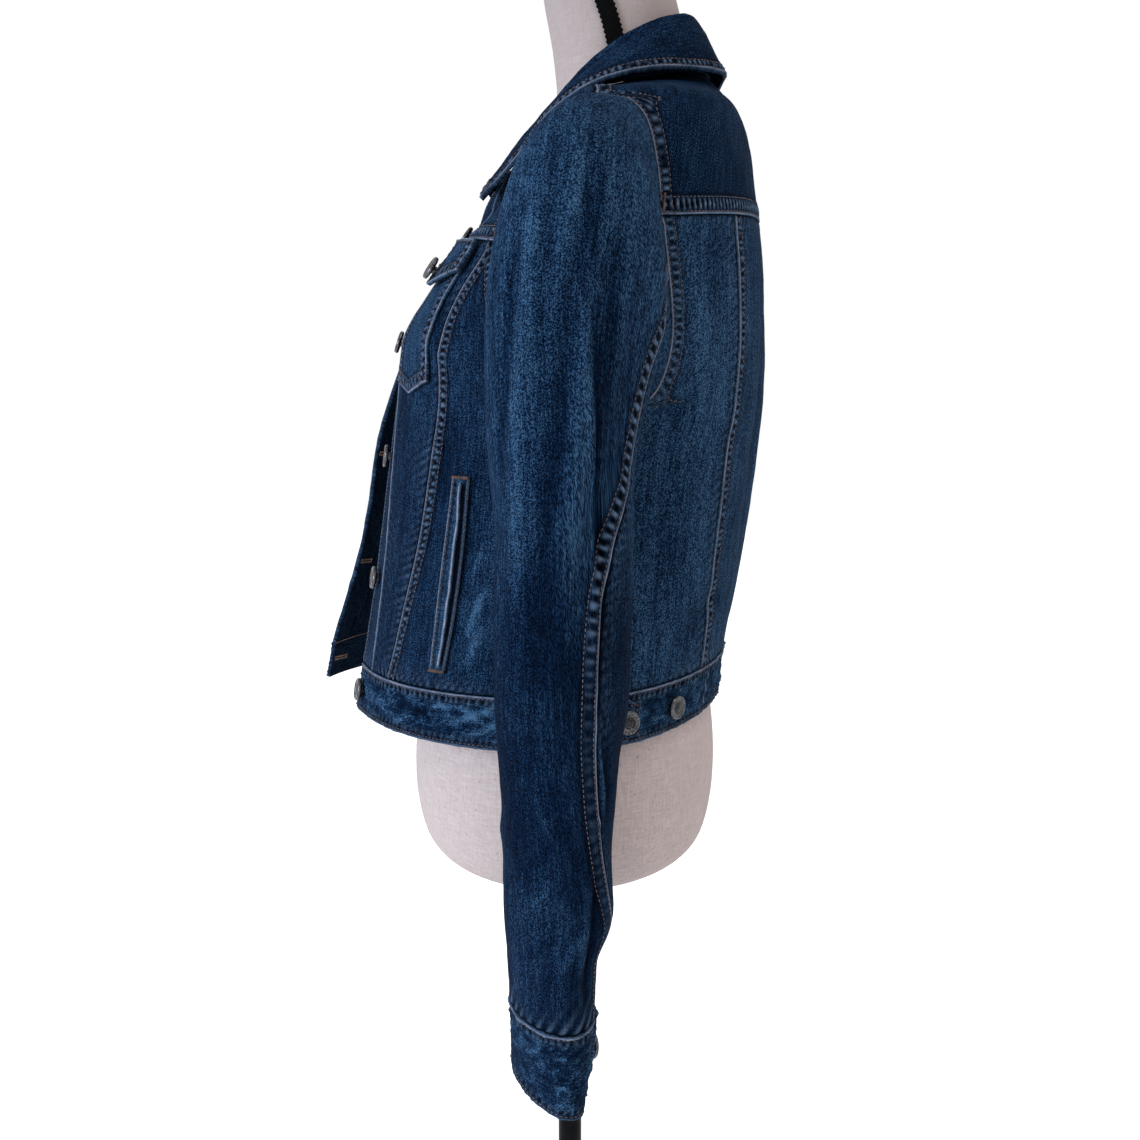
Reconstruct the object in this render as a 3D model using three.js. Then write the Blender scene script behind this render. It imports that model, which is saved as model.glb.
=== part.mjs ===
// A short denim jacket worn by a limbless, cloth-covered dress form on a pole stand.
// Millimetres, +Z up, the front faces -Y, the wearer's left is +X.
// The origin is the middle of the stand's underside, where it meets the floor.
import * as THREE from "three";

// Cloth walls and the space that sewn pieces keep from each other.
const CLOTH = 1.8;
const DOUBLE_CLOTH = 2.6;
const SEAM_GAP = 0.35;
const LAID_ON_GAP = 0.4;
const PATCH_GAP = 0.8;
const DIFFERENCE_STEP = 0.002;

// Sizes of the small pieces.
const PLACKET_WIDTH = 34;
const BUTTON_RADIUS = 8.5;
const BUTTON_HEIGHT = 3.2;
const SHANK_RADIUS = 3;
const SHANK_HEIGHT = 2.4;

// Sizes of the stand.
const BASE_RADIUS = 170;
const BASE_HEIGHT = 9;
const POLE_RADIUS = 10;
const FORM_BOTTOM_Z = 613;
const NECK_TOP_Z = 1290;

const DEG = Math.PI / 180;

// A table is a list of rows with named columns. column() gives one column as a
// smooth function of the first column, by monotone cubic interpolation.
function column(names, rows, name) {
  const list = names.split(" ");
  const key = rows.map((row) => row[0]);
  const value = rows.map((row) => row[list.indexOf(name)]);
  const last = key.length - 1;
  const slope = key.slice(1).map((k, i) => (value[i + 1] - value[i]) / (k - key[i]));
  const tangent = key.map((_, i) => {
    if (i === 0) return slope[0];
    if (i === last) return slope[last - 1];
    const before = slope[i - 1];
    const after = slope[i];
    return before * after <= 0 ? 0 : (2 * before * after) / (before + after);
  });
  return (at) => {
    const x = Math.min(Math.max(at, key[0]), key[last]);
    let i = 0;
    while (i < last - 1 && x > key[i + 1]) i += 1;
    const width = key[i + 1] - key[i];
    const t = (x - key[i]) / width;
    const a = (1 + 2 * t) * (1 - t) * (1 - t);
    const b = t * (1 - t) * (1 - t) * width;
    const c = t * t * (3 - 2 * t);
    const d = t * t * (t - 1) * width;
    return a * value[i] + b * tangent[i] + c * value[i + 1] + d * tangent[i + 1];
  };
}

function columns(names, rows) {
  const made = {};
  for (const name of names.split(" ").slice(1)) made[name] = column(names, rows, name);
  return made;
}

const lerp = (a, b, t) => a + (b - a) * t;
const clamp01 = (t) => Math.min(1, Math.max(0, t));
const bell = (t) => (Math.abs(t) >= 1 ? 0 : Math.cos((Math.PI / 2) * t) ** 2);

// Level numbers of the body's sections: whole numbers are the rows of BODY.
const HEM = 0;
const BAND_TOP = 1;
const ARMPIT = 5;
const YOKE = 8;
const SHOULDER = 10;
const NECK = 12;

// One row for each section of the jacket's body, from the hem to the neckline.
// z at the middle front, the side, just behind the side and the middle back; half
// the width; y of the side, the middle front on the left and right, and the middle
// back; how square the front and back are; how far the chest under the collarbone
// falls back; and the power by which the height leans from the side to the middle.
const BODY_NAMES =
  "level zFront zSide zSideBack zBack halfWidth ySide yFront yFrontRight yBack squareFront squareBack hollow lean";
const BODY = columns(BODY_NAMES, [
  [HEM, 729, 728, 728, 737, 178, -12, -171, -213, 119, 2.0, 1.9, 0, 2],
  [BAND_TOP, 761, 764, 764, 771, 176, -10, -165, -206, 123, 2.0, 1.9, 0, 2],
  [2, 815, 813, 813, 818, 171, -5, -155, -187, 131, 2.05, 1.95, 0, 2],
  [3, 870, 868, 868, 873, 167, 0, -146, -171, 138.5, 2.1, 2.0, 0, 2],
  [4, 925, 922, 922, 928, 168, 5, -138, -160, 144.5, 2.15, 2.0, 0, 2],
  [ARMPIT, 960, 955, 955, 962, 170, 10, -133, -148, 147.5, 2.2, 2.05, 0, 2],
  [6, 1000, 993, 993, 1005, 172, 10, -127, -132, 148.5, 2.3, 2.1, 0, 2],
  [7, 1038, 1024, 1030, 1047, 172, 9, -102, -106, 147, 2.6, 2.15, 0, 2],
  [YOKE, 1074, 1052, 1073, 1091, 173, 8, -77, -81, 142, 2.6, 2.2, 0, 2],
  [9, 1084, 1100, 1104, 1125, 177, 11, -71, -75, 136, 2.3, 2.2, 8, 1.8],
  [SHOULDER, 1092, 1143, 1143, 1160, 183, 16, -67, -71, 127, 2.0, 2.1, 16, 1.6],
  [11, 1100, 1164, 1164, 1183, 122, 15, -65, -68, 117, 2.0, 2.0, 8, 1.25],
  [NECK, 1109, 1178, 1178, 1203, 66, 12, -62, -65, 102, 2.0, 2.0, 0, 1.1],
]);

// Where the up-and-down seams and front edges run, as distances from the middle plane.
const SEAM_NAMES = "level edgeLeft edgeRight frontSeam backSeam";
const SEAMS = columns(SEAM_NAMES, [
  [HEM, 52, 42, 108, 104],
  [BAND_TOP, 50, 41, 110, 105],
  [2, 45, 38, 115, 108],
  [3, 38, 34, 121, 112],
  [4, 28, 28, 126, 115],
  [ARMPIT, 22, 24, 130, 117],
  [6, 20, 22, 133, 118],
  [7, 24, 25, 137, 119],
  [YOKE, 26, 27, 140, 120],
  [NECK, 22, 22, 140, 120],
]);
const SIDE_SEAM_ANGLE = 95;

// A point of the body's outer face. side is 1 for the wearer's left and -1 for the
// right; the angle goes from 0 at the middle front to 180 degrees at the middle back.
function bodyPoint(side, angle, level) {
  const t = angle * DEG;
  const front = angle < 90;
  const yFront = side > 0 ? BODY.yFront(level) : BODY.yFrontRight(level);
  const ySide = BODY.ySide(level);
  const depth = front ? ySide - yFront : BODY.yBack(level) - ySide;
  const power = front ? BODY.squareFront(level) : BODY.squareBack(level);
  const across = Math.abs(Math.sin(t)) / BODY.halfWidth(level);
  const along = Math.abs(Math.cos(t)) / depth;
  const reach = (across ** power + along ** power) ** (-1 / power);
  const toMiddle = (Math.abs(reach * Math.cos(t)) / depth) ** BODY.lean(level);
  const zSide = front ? BODY.zSide(level) : BODY.zSideBack(level);
  const zEnd = front ? BODY.zFront(level) : BODY.zBack(level);
  const hollow = BODY.hollow(level) * Math.sin(Math.PI * clamp01((angle - 20) / 68)) ** 2;
  return new THREE.Vector3(
    side * reach * Math.sin(t),
    ySide - reach * Math.cos(t) + hollow,
    zSide + (zEnd - zSide) * toMiddle,
  );
}

// The angle at which a section is so far from the middle plane, in front or behind.
function angleAt(side, level, distance, behind) {
  const ySide = BODY.ySide(level);
  const yFront = side > 0 ? BODY.yFront(level) : BODY.yFrontRight(level);
  const depth = behind ? BODY.yBack(level) - ySide : ySide - yFront;
  const power = behind ? BODY.squareBack(level) : BODY.squareFront(level);
  const share = Math.min(1, distance / BODY.halfWidth(level));
  const away = depth * (1 - share ** power) ** (1 / power);
  const angle = Math.atan2(distance, away) / DEG;
  return behind ? 180 - angle : angle;
}

const edgeDistance = (side, level) => (side > 0 ? SEAMS.edgeLeft(level) : SEAMS.edgeRight(level));
const edgeAngle = (side, level) => angleAt(side, level, edgeDistance(side, level), false);
const placketAngle = (side, level) =>
  angleAt(side, level, edgeDistance(side, level) + PLACKET_WIDTH, false);
const frontSeamAngle = (side, level) => angleAt(side, level, SEAMS.frontSeam(level), false);
const backSeamAngle = (side, level) => angleAt(side, level, SEAMS.backSeam(level), true);

// The armhole: a rounded opening around the side, from the armpit to the shoulder.
const ARMHOLE_FRONT_ANGLE = 21;
const ARMHOLE_BACK_ANGLE = 17;
const ARMHOLE_SQUARE = 2.4;
const armholeMiddle = (level) => lerp(SIDE_SEAM_ANGLE, 90, clamp01((level - ARMPIT) / 3));
function armholeShare(level) {
  const height = clamp01((level - ARMPIT) / (SHOULDER - ARMPIT)) ** 0.85;
  return (1 - Math.abs(2 * height - 1) ** ARMHOLE_SQUARE) ** (1 / ARMHOLE_SQUARE);
}
function sideAngle(level, behind) {
  const middle = armholeMiddle(level);
  const share = armholeShare(level);
  return behind ? middle + ARMHOLE_BACK_ANGLE * share : middle - ARMHOLE_FRONT_ANGLE * share;
}

// Levels at which every panel has a row of points, closer together at the armhole's ends.
const ARMHOLE_ROWS = 13;
const armholeLevels = Array.from({ length: ARMHOLE_ROWS + 1 }, (_, i) => {
  const share = (1 - Math.cos((Math.PI * i) / ARMHOLE_ROWS)) / 2;
  return lerp(ARMPIT, SHOULDER, share);
}).filter((level) => Math.abs(level - YOKE) > 0.15);
const LEVELS = [HEM, BAND_TOP, 1.7, 2.5, 3.3, 4.15, ...armholeLevels, YOKE, 10.5, 11, 11.5, NECK];
function levelsBetween(from, to) {
  return LEVELS.filter((level) => level >= from && level <= to).sort((a, b) => a - b);
}

// Even steps from 0 to 1.
const evenSteps = (count) => Array.from({ length: count + 1 }, (_, i) => i / count);

// The outward direction of a surface, from its neighbours.
function outward(surface, u, v, flip) {
  const h = DIFFERENCE_STEP;
  const du = surface(Math.min(1, u + h), v).sub(surface(Math.max(0, u - h), v));
  const dv = surface(u, Math.min(1, v + h)).sub(surface(u, Math.max(0, v - h)));
  const n = du.cross(dv).normalize();
  return flip ? n.negate() : n;
}

// A closed wall between two copies of a grid of points: grid[j][i] and its outward
// directions, moved out by `from` and by `to`.
function wallOf(points, normals, from, to) {
  const rows = points.length;
  const across = points[0].length;
  const positions = [];
  const layers = [to, from];
  for (const move of layers) {
    for (let j = 0; j < rows; j += 1) {
      for (let i = 0; i < across; i += 1) {
        const p = points[j][i].clone().addScaledVector(normals[j][i], move);
        positions.push(p.x, p.y, p.z);
      }
    }
  }
  const id = (layer, j, i) => layer * rows * across + j * across + i;
  const faces = [];
  const quad = (a, b, c, d, turned) => {
    if (turned) faces.push(b, c, d, b, d, a);
    else faces.push(a, b, c, a, c, d);
  };
  for (let j = 0; j < rows - 1; j += 1) {
    for (let i = 0; i < across - 1; i += 1) {
      const straight = points[j][i].distanceTo(points[j + 1][i + 1]);
      const turned = points[j][i + 1].distanceTo(points[j + 1][i]) < straight;
      quad(id(0, j, i), id(0, j, i + 1), id(0, j + 1, i + 1), id(0, j + 1, i), turned);
      quad(id(1, j, i), id(1, j + 1, i), id(1, j + 1, i + 1), id(1, j, i + 1), turned);
    }
  }
  for (let i = 0; i < across - 1; i += 1) {
    quad(id(0, 0, i), id(1, 0, i), id(1, 0, i + 1), id(0, 0, i + 1));
    quad(id(0, rows - 1, i), id(0, rows - 1, i + 1), id(1, rows - 1, i + 1), id(1, rows - 1, i));
  }
  for (let j = 0; j < rows - 1; j += 1) {
    quad(id(0, j, 0), id(0, j + 1, 0), id(1, j + 1, 0), id(1, j, 0));
    quad(id(0, j, across - 1), id(1, j, across - 1), id(1, j + 1, across - 1), id(0, j + 1, across - 1));
  }
  const geometry = new THREE.BufferGeometry();
  geometry.setAttribute("position", new THREE.Float32BufferAttribute(positions, 3));
  geometry.setIndex(faces);
  return facingOut(geometry);
}

// Turns a closed geometry's faces round if they point inwards.
function facingOut(geometry) {
  const p = geometry.attributes.position;
  const index = geometry.index.array;
  const a = new THREE.Vector3();
  const b = new THREE.Vector3();
  const c = new THREE.Vector3();
  let volume = 0;
  for (let i = 0; i < index.length; i += 3) {
    a.fromBufferAttribute(p, index[i]);
    b.fromBufferAttribute(p, index[i + 1]);
    c.fromBufferAttribute(p, index[i + 2]);
    volume += a.dot(b.cross(c));
  }
  if (volume < 0) {
    for (let i = 0; i < index.length; i += 3) [index[i], index[i + 1]] = [index[i + 1], index[i]];
  }
  return geometry;
}

// A wall over a surface(u, v), with points at the given shares u and v.
function wall(surface, us, vs, from, to, flip = false) {
  const points = vs.map((v) => us.map((u) => surface(u, v)));
  const normals = vs.map((v) => us.map((u) => outward(surface, u, v, flip)));
  return wallOf(points, normals, from, to);
}

const part = new THREE.Group();
const denim = new THREE.MeshStandardMaterial({ color: 0x1f3552, roughness: 0.9 });
const metal = new THREE.MeshStandardMaterial({ color: 0xb9bcc2, roughness: 0.3, metalness: 1 });
const formCloth = new THREE.MeshStandardMaterial({ color: 0xb8a7a4, roughness: 0.95 });
const blackMetal = new THREE.MeshStandardMaterial({ color: 0x0b0b0d, roughness: 0.3, metalness: 0.6 });
const blackTrim = new THREE.MeshStandardMaterial({ color: 0x060606, roughness: 0.9 });

function add(name, geometry, material = denim) {
  const mesh = new THREE.Mesh(geometry, material);
  mesh.name = name;
  part.add(mesh);
  return mesh;
}

const SIDES = [
  { side: 1, label: "left" },
  { side: -1, label: "right" },
];

// The outward direction of the body's face. It depends on the place only, so that
// neighbouring panels have parallel edges.
function bodyNormal(side, angle, level) {
  const h = DIFFERENCE_STEP;
  const turn = 1.5;
  const du = bodyPoint(side, angle + turn, level).sub(bodyPoint(side, angle - turn, level));
  const above = bodyPoint(side, angle, Math.min(NECK, level + h));
  const dv = above.sub(bodyPoint(side, angle, Math.max(HEM, level - h)));
  return du.cross(dv).normalize().multiplyScalar(side);
}

// A wall on the body. place(u, v) gives the side, angle and level.
function bodyWall(name, place, us, vs, from, to, material = denim) {
  const points = vs.map((v) => us.map((u) => bodyPoint(...place(u, v))));
  const normals = vs.map((v) => us.map((u) => bodyNormal(...place(u, v))));
  add(name, wallOf(points, normals, from, to), material);
}

// The level at a share of the way between two levels, with half a seam gap off both
// ends. The rate is taken at one angle, so that neighbouring panels end in line.
const LEVEL_RATE_ANGLE = 110;
function trimmedLevel(v, fromLevel, toLevel) {
  const level = lerp(fromLevel, toLevel, v);
  const step = 0.01;
  const pointAt = (at) => bodyPoint(1, LEVEL_RATE_ANGLE, at);
  const rate = (at) => pointAt(at + step).distanceTo(pointAt(at)) / step;
  if (v <= 0) return level + SEAM_GAP / 2 / rate(level);
  if (v >= 1) return level - SEAM_GAP / 2 / rate(level - step);
  return level;
}

// One panel of the body between two levels and two angles that follow the level. Half
// the seam gap is taken off every edge.
function bodyPanel(name, side, fromLevel, toLevel, fromAngle, toAngle, count, thickness) {
  const place = (u, v) => {
    const level = trimmedLevel(v, fromLevel, toLevel);
    const a = fromAngle(level);
    const b = toAngle(level);
    const step = Math.min(0.5, (b - a) / 4);
    const startRate = bodyPoint(side, a, level).distanceTo(bodyPoint(side, a + step, level)) / step;
    const endRate = bodyPoint(side, b, level).distanceTo(bodyPoint(side, b - step, level)) / step;
    const start = a + SEAM_GAP / 2 / startRate;
    const end = b - SEAM_GAP / 2 / endRate;
    return [side, lerp(start, end, u), level];
  };
  const vs = levelsBetween(fromLevel, toLevel).map((level) => (level - fromLevel) / (toLevel - fromLevel));
  bodyWall(name, place, evenSteps(count), vs, -thickness, 0);
}

function bodyPanels() {
  for (const { side, label } of SIDES) {
    const edge = (level) => edgeAngle(side, level);
    const placket = (level) => placketAngle(side, level);
    const frontSeam = (level) => frontSeamAngle(side, level);
    const backSeam = (level) => backSeamAngle(side, level);
    const frontSide = (level) => (level <= ARMPIT ? SIDE_SEAM_ANGLE : sideAngle(level, false));
    const backSide = (level) => (level <= ARMPIT ? SIDE_SEAM_ANGLE : sideAngle(level, true));
    const yokeSide = (level) => (level >= SHOULDER ? 90 : sideAngle(level, false));
    bodyPanel(`placket_${label}`, side, BAND_TOP, NECK, edge, placket, 2, DOUBLE_CLOTH);
    bodyPanel(`front_panel_${label}`, side, BAND_TOP, YOKE, placket, frontSeam, 4, CLOTH);
    bodyPanel(`front_side_${label}`, side, BAND_TOP, YOKE, frontSeam, frontSide, 4, CLOTH);
    bodyPanel(`front_yoke_${label}`, side, YOKE, NECK, placket, yokeSide, 7, CLOTH);
    bodyPanel(`back_side_${label}`, side, BAND_TOP, YOKE, backSide, backSeam, 4, CLOTH);
    const sideSeam = () => SIDE_SEAM_ANGLE;
    bodyPanel(`waistband_front_${label}`, side, HEM, BAND_TOP, edge, sideSeam, 11, DOUBLE_CLOTH);
  }
  backPanels();
}

// A piece that crosses the middle of the back, from its limit on the left to the
// same limit on the right.
function crossingPanel(name, fromLevel, toLevel, limit, count, thickness) {
  const place = (u, v) => {
    const side = u < 0.5 ? 1 : -1;
    const level = trimmedLevel(v, fromLevel, toLevel);
    const start = limit(level);
    const step = 0.5;
    const rate = bodyPoint(1, start, level).distanceTo(bodyPoint(1, start + step, level)) / step;
    return [side, lerp(180, start + SEAM_GAP / 2 / rate, Math.abs(1 - 2 * u)), level];
  };
  const vs = levelsBetween(fromLevel, toLevel).map((level) => (level - fromLevel) / (toLevel - fromLevel));
  bodyWall(name, place, evenSteps(count), vs, -thickness, 0);
}

function backPanels() {
  const yokeLimit = (level) => (level >= SHOULDER ? 90 : sideAngle(level, true));
  crossingPanel("back_panel", BAND_TOP, YOKE, (level) => backSeamAngle(1, level), 10, CLOTH);
  crossingPanel("back_yoke", YOKE, NECK, yokeLimit, 18, CLOTH);
  crossingPanel("waistband_back", HEM, BAND_TOP, () => SIDE_SEAM_ANGLE, 20, DOUBLE_CLOTH);
}

bodyPanels();

// Sleeves. One row for each section down the sleeve. A section is an ellipse between
// an inner point next to the body and an outer point; row 0 is the armhole itself.
// seam is the angle of the felled back seam from the outer point, and fold the depth
// of the long fold beside it.
const CUFF_ROW = 17;
const SLEEVE_NAMES = "row innerX innerZ outerX outerZ yFront yBack seam fold shear";
const SLEEVE = columns(SLEEVE_NAMES, [
  [0, 171, 950, 186, 1144, -46, 58, 100, 0, 0],
  [1, 177, 944, 206, 1137, -44, 58, 100, 0, 0],
  [2, 182, 930, 228, 1123, -47, 58, 98, 0, 0],
  [3, 184, 915, 246, 1100, -50, 56, 95, 0, 0],
  [4, 185, 898, 258, 1070, -51, 50, 92, 1, 0],
  [5, 185, 880, 265, 1036, -51, 44, 90, 3, 0],
  [6, 185, 862, 269, 998, -50, 40, 86, 5, 0],
  [7, 185, 843, 271, 960, -47, 38, 78, 6, 0],
  [8, 185, 822, 272, 922, -45, 38, 62, 6, 0],
  [9, 185, 800, 272, 884, -46, 38, 45, 5, 0],
  [10, 185, 775, 272, 845, -46.5, 37, 36, 4, 0],
  [11, 185, 748, 272, 805, -46.5, 36, 33, 3, 0],
  [12, 185, 722, 271, 765, -45, 31, 33, 1, 2],
  [13, 184, 697, 269, 725, -43, 28, 36, 0, 4],
  [14, 183, 670, 267, 687, -42.5, 26, 44, 0, 7],
  [15, 182, 641, 265, 648, -43, 27, 56, 0, 9],
  [16, 181, 611, 263, 611, -41.5, 16, 66, 0, 10],
  [CUFF_ROW, 183, 573.9, 260, 573.9, -39.5, 14.5, 74, 0, 10],
]);
const SLEEVE_ROWS = [
  0, 0.3, 0.8, 1.5, 2.3, 3.1, 4, 5, 6, 6.9, 7.8, 8.8, 10, 11.4, 12.8, 14, 15.2, 16.2, CUFF_ROW,
];
const ARMHOLE_EASE = 0.7;
const SLEEVE_FOLD_OFFSET = 20;
const SLEEVE_FOLD_WIDTH = 32;

// The angle goes from the outer point (0) over the front (90) and the inner point
// (180) to the back (270).
function armholePoint(side, angle) {
  const level = lerp(ARMPIT, SHOULDER, (1 + Math.cos(angle * DEG)) / 2);
  const behind = ((angle % 360) + 360) % 360 > 180;
  const p = bodyPoint(side, level >= SHOULDER - 1e-6 ? 90 : sideAngle(level, behind), level);
  p.x += side * ARMHOLE_EASE;
  return p;
}

function sleevePoint(side, angle, row) {
  const t = angle * DEG;
  const yMiddle = (SLEEVE.yFront(row) + SLEEVE.yBack(row)) / 2;
  const shear = SLEEVE.shear(row);
  const yHalf = Math.sqrt(((SLEEVE.yBack(row) - SLEEVE.yFront(row)) / 2) ** 2 - shear ** 2);
  const foldAngle = -(SLEEVE.seam(row) - SLEEVE_FOLD_OFFSET);
  const away = ((((angle - foldAngle + 180) % 360) + 360) % 360) - 180;
  const depth = SLEEVE.fold(row) * bell(away / SLEEVE_FOLD_WIDTH);
  const across = (1 + Math.cos(t)) / 2;
  const p = new THREE.Vector3(
    side * (lerp(SLEEVE.innerX(row), SLEEVE.outerX(row), across) - depth * Math.cos(t)),
    yMiddle + shear * Math.cos(t) - (yHalf - depth) * Math.sin(t),
    lerp(SLEEVE.innerZ(row), SLEEVE.outerZ(row), across),
  );
  const start = clamp01(row / 1.6);
  const ease = start * start * (3 - 2 * start);
  const q = armholePoint(side, angle);
  q.x += side * Math.min(row, 1) * 9;
  return q.lerp(p, ease);
}

// A strip of the sleeve between two angles that follow the row.
const OUTER_STEPS = [
  0, 0.04, 0.08, 0.12, 0.16, 0.21, 0.27, 0.34, 0.41, 0.48, 0.55, 0.62, 0.69, 0.76, 0.84, 0.92, 1,
];
function sleevePanel(name, side, fromAngle, toAngle, steps) {
  const surface = (u, v) => {
    const row = Math.min(v * CUFF_ROW, CUFF_ROW - 0.01);
    const a = fromAngle(row);
    const b = toAngle(row);
    const trim = SEAM_GAP / 2 / (45 * DEG);
    return sleevePoint(side, lerp(a + trim, b - trim, u), row);
  };
  const vs = SLEEVE_ROWS.map((row) => row / CUFF_ROW);
  add(name, wall(surface, steps, vs, -CLOTH, 0, side < 0));
}

// A cuff: a band once round the sleeve's end, with its outer end over the inner one.
const CUFF_NAMES = "row halfX halfY middleX middleY z shear rise";
const CUFF = columns(CUFF_NAMES, [
  [0, 38.6, 25.2, 221.5, -12.4, 574.2, 10, 0],
  [1, 37.5, 22.6, 220.5, -13.6, 546, 12, 0.1],
  [2, 37, 19.8, 219.5, -15.2, 519.5, 13, 0.2],
]);
const CUFF_START = 250;
const CUFF_TURN = 392;
const CUFF_LIFT_FROM = 0.86;
function cuffPoint(side, turn, v) {
  const row = lerp(0.012, 2, v);
  const t = (CUFF_START + CUFF_TURN * turn) * DEG;
  const share = clamp01((turn - CUFF_LIFT_FROM) / 0.06);
  const lift = (DOUBLE_CLOTH + LAID_ON_GAP) * share * share * (3 - 2 * share);
  const y = CUFF.shear(row) * Math.cos(t) - (CUFF.halfY(row) + lift) * Math.sin(t);
  return new THREE.Vector3(
    side * (CUFF.middleX(row) + (CUFF.halfX(row) + lift) * Math.cos(t)),
    CUFF.middleY(row) + y,
    CUFF.z(row) - CUFF.rise(row) * y,
  );
}

for (const { side, label } of SIDES) {
  const seam = (row) => SLEEVE.seam(row);
  sleevePanel(`sleeve_outer_${label}`, side, (row) => -seam(row), () => 180, OUTER_STEPS);
  sleevePanel(`sleeve_under_${label}`, side, () => 180, (row) => 360 - seam(row), evenSteps(9));
  const cuffSurface = (u, v) => cuffPoint(side, u, v);
  add(`cuff_${label}`, wall(cuffSurface, evenSteps(30), evenSteps(2), -DOUBLE_CLOTH, 0, side < 0));
}

// The collar, as one band from the left front end over the back to the right front
// end. Each row gives a point of the fold and of the leaf's edge; `way` goes from the
// middle back (0) to the front end (1).
const COLLAR_NAMES = "way foldX foldY foldZ edgeX edgeY edgeZ";
const COLLAR_LEFT = columns(COLLAR_NAMES, [
  [0, 0, 97, 1240, 0, 118, 1204],
  [0.25, 45, 82, 1234, 62, 107, 1190],
  [0.5, 72, 46, 1216, 98, 64, 1183],
  [0.65, 77, 16, 1195, 108, 26, 1174],
  [0.8, 68, -13, 1167, 103, -11, 1154.5],
  [0.9, 54, -37, 1144, 93, -32, 1130],
  [1, 37, -61, 1117, 80, -62, 1100],
]);
const COLLAR_RIGHT = columns(COLLAR_NAMES, [
  [0, 0, 97, 1240, 0, 118, 1204],
  [0.25, 45, 82, 1234, 62, 107, 1190],
  [0.5, 72, 46, 1217, 98, 64, 1184],
  [0.65, 77, 16, 1197, 108, 26, 1174],
  [0.8, 68, -12, 1170, 104, -10, 1163],
  [0.9, 54, -37, 1145, 92, -37, 1156],
  [1, 37, -64, 1118, 77, -62, 1147],
]);
const COLLAR_WALL = 2.6;
const COLLAR_BASE = NECK - 0.12;
function collarPoint(u, v) {
  const side = u < 0.5 ? 1 : -1;
  const way = Math.abs(1 - 2 * u);
  const table = side > 0 ? COLLAR_LEFT : COLLAR_RIGHT;
  const baseAngle = lerp(180, edgeAngle(side, COLLAR_BASE), way);
  const base = bodyPoint(side, baseAngle, COLLAR_BASE);
  base.addScaledVector(bodyNormal(side, baseAngle, COLLAR_BASE), COLLAR_WALL / 2 + 2.5 * SEAM_GAP);
  const fold = new THREE.Vector3(side * table.foldX(way), table.foldY(way), table.foldZ(way));
  const edge = new THREE.Vector3(side * table.edgeX(way), table.edgeY(way), table.edgeZ(way));
  const size = Math.min(1, fold.distanceTo(base) / 24);
  const out = edge.clone().sub(fold).setZ(0).normalize();
  const before = fold.clone().addScaledVector(out, -3.5 * size);
  before.z -= 6 * size;
  const after = fold.clone().addScaledVector(out, 4.5 * size);
  after.z -= 4 * size;
  const bulge = edge.clone().lerp(fold, 0.5);
  bulge.z += 2.5;
  const points = [base, base.clone().lerp(before, 0.5), before, fold, after, bulge, edge];
  return throughPoints(points, v);
}

// A smooth curve through a few points, at a share of the way.
function throughPoints(points, share) {
  const last = points.length - 1;
  const place = clamp01(share) * last;
  const i = Math.min(Math.floor(place), last - 1);
  const t = place - i;
  const before = points[Math.max(i - 1, 0)];
  const after = points[Math.min(i + 2, last)];
  const from = points[i];
  const to = points[i + 1];
  const startPull = to.clone().sub(before).multiplyScalar(0.5);
  const endPull = after.clone().sub(from).multiplyScalar(0.5);
  return from
    .clone()
    .multiplyScalar((1 + 2 * t) * (1 - t) * (1 - t))
    .addScaledVector(startPull, t * (1 - t) * (1 - t))
    .addScaledVector(to, t * t * (3 - 2 * t))
    .addScaledVector(endPull, t * t * (t - 1));
}
add("collar", wall(collarPoint, evenSteps(32), evenSteps(12), -COLLAR_WALL / 2, COLLAR_WALL / 2));

// Pieces laid on the body's face. place(u, v) gives the side, angle and level, and
// lift(u, v) how far the piece's inner face stands off the body.
function laidOn(name, side, place, us, vs, lift, thickness) {
  const points = vs.map((v) => us.map((u) => bodyPoint(...place(u, v))));
  const normals = vs.map((v) => us.map((u) => bodyNormal(...place(u, v))));
  vs.forEach((v, j) => {
    us.forEach((u, i) => {
      points[j][i].addScaledVector(normals[j][i], lift(u, v));
    });
  });
  add(name, wallOf(points, normals, 0, thickness));
}

// Chest pockets below the yoke seam, with a pointed lower edge.
const POCKET_INNER = 68;
const POCKET_OUTER = 128;
const POCKET_TAPER = 5;
const POCKET_TOP_LEVEL = 7.86;
const POCKET_CORNER_LEVEL = 5.38;
const POCKET_POINT_LEVEL = 5.16;
const FLAP_INNER = 65;
const FLAP_OUTER = 131;
const FLAP_TOP_LEVEL = 7.93;
const FLAP_CORNER_LEVEL = 7.28;
const FLAP_POINT_LEVEL = 6.98;
const tent = (u) => 1 - Math.abs(2 * u - 1);
for (const { side, label } of SIDES) {
  const pocketPlace = (u, v) => {
    const foot = lerp(POCKET_CORNER_LEVEL, POCKET_POINT_LEVEL, tent(u));
    const level = lerp(foot, POCKET_TOP_LEVEL, v);
    const inner = POCKET_INNER + POCKET_TAPER * (1 - v);
    const outer = POCKET_OUTER - POCKET_TAPER * (1 - v);
    return [side, angleAt(side, level, lerp(inner, outer, u), false), level];
  };
  laidOn(`pocket_${label}`, side, pocketPlace, evenSteps(8), evenSteps(8), () => PATCH_GAP, 1.4);
  const flapPlace = (u, v) => {
    const foot = lerp(FLAP_CORNER_LEVEL, FLAP_POINT_LEVEL, tent(u));
    const level = lerp(foot, FLAP_TOP_LEVEL, v);
    return [side, angleAt(side, level, lerp(FLAP_INNER, FLAP_OUTER, u), false), level];
  };
  const flapLift = (u, v) => 2 * PATCH_GAP + 1.4 + (1 - v) * (1 + 3 * tent(u));
  laidOn(`flap_${label}`, side, flapPlace, evenSteps(8), evenSteps(4), flapLift, 2.2);
}

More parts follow.
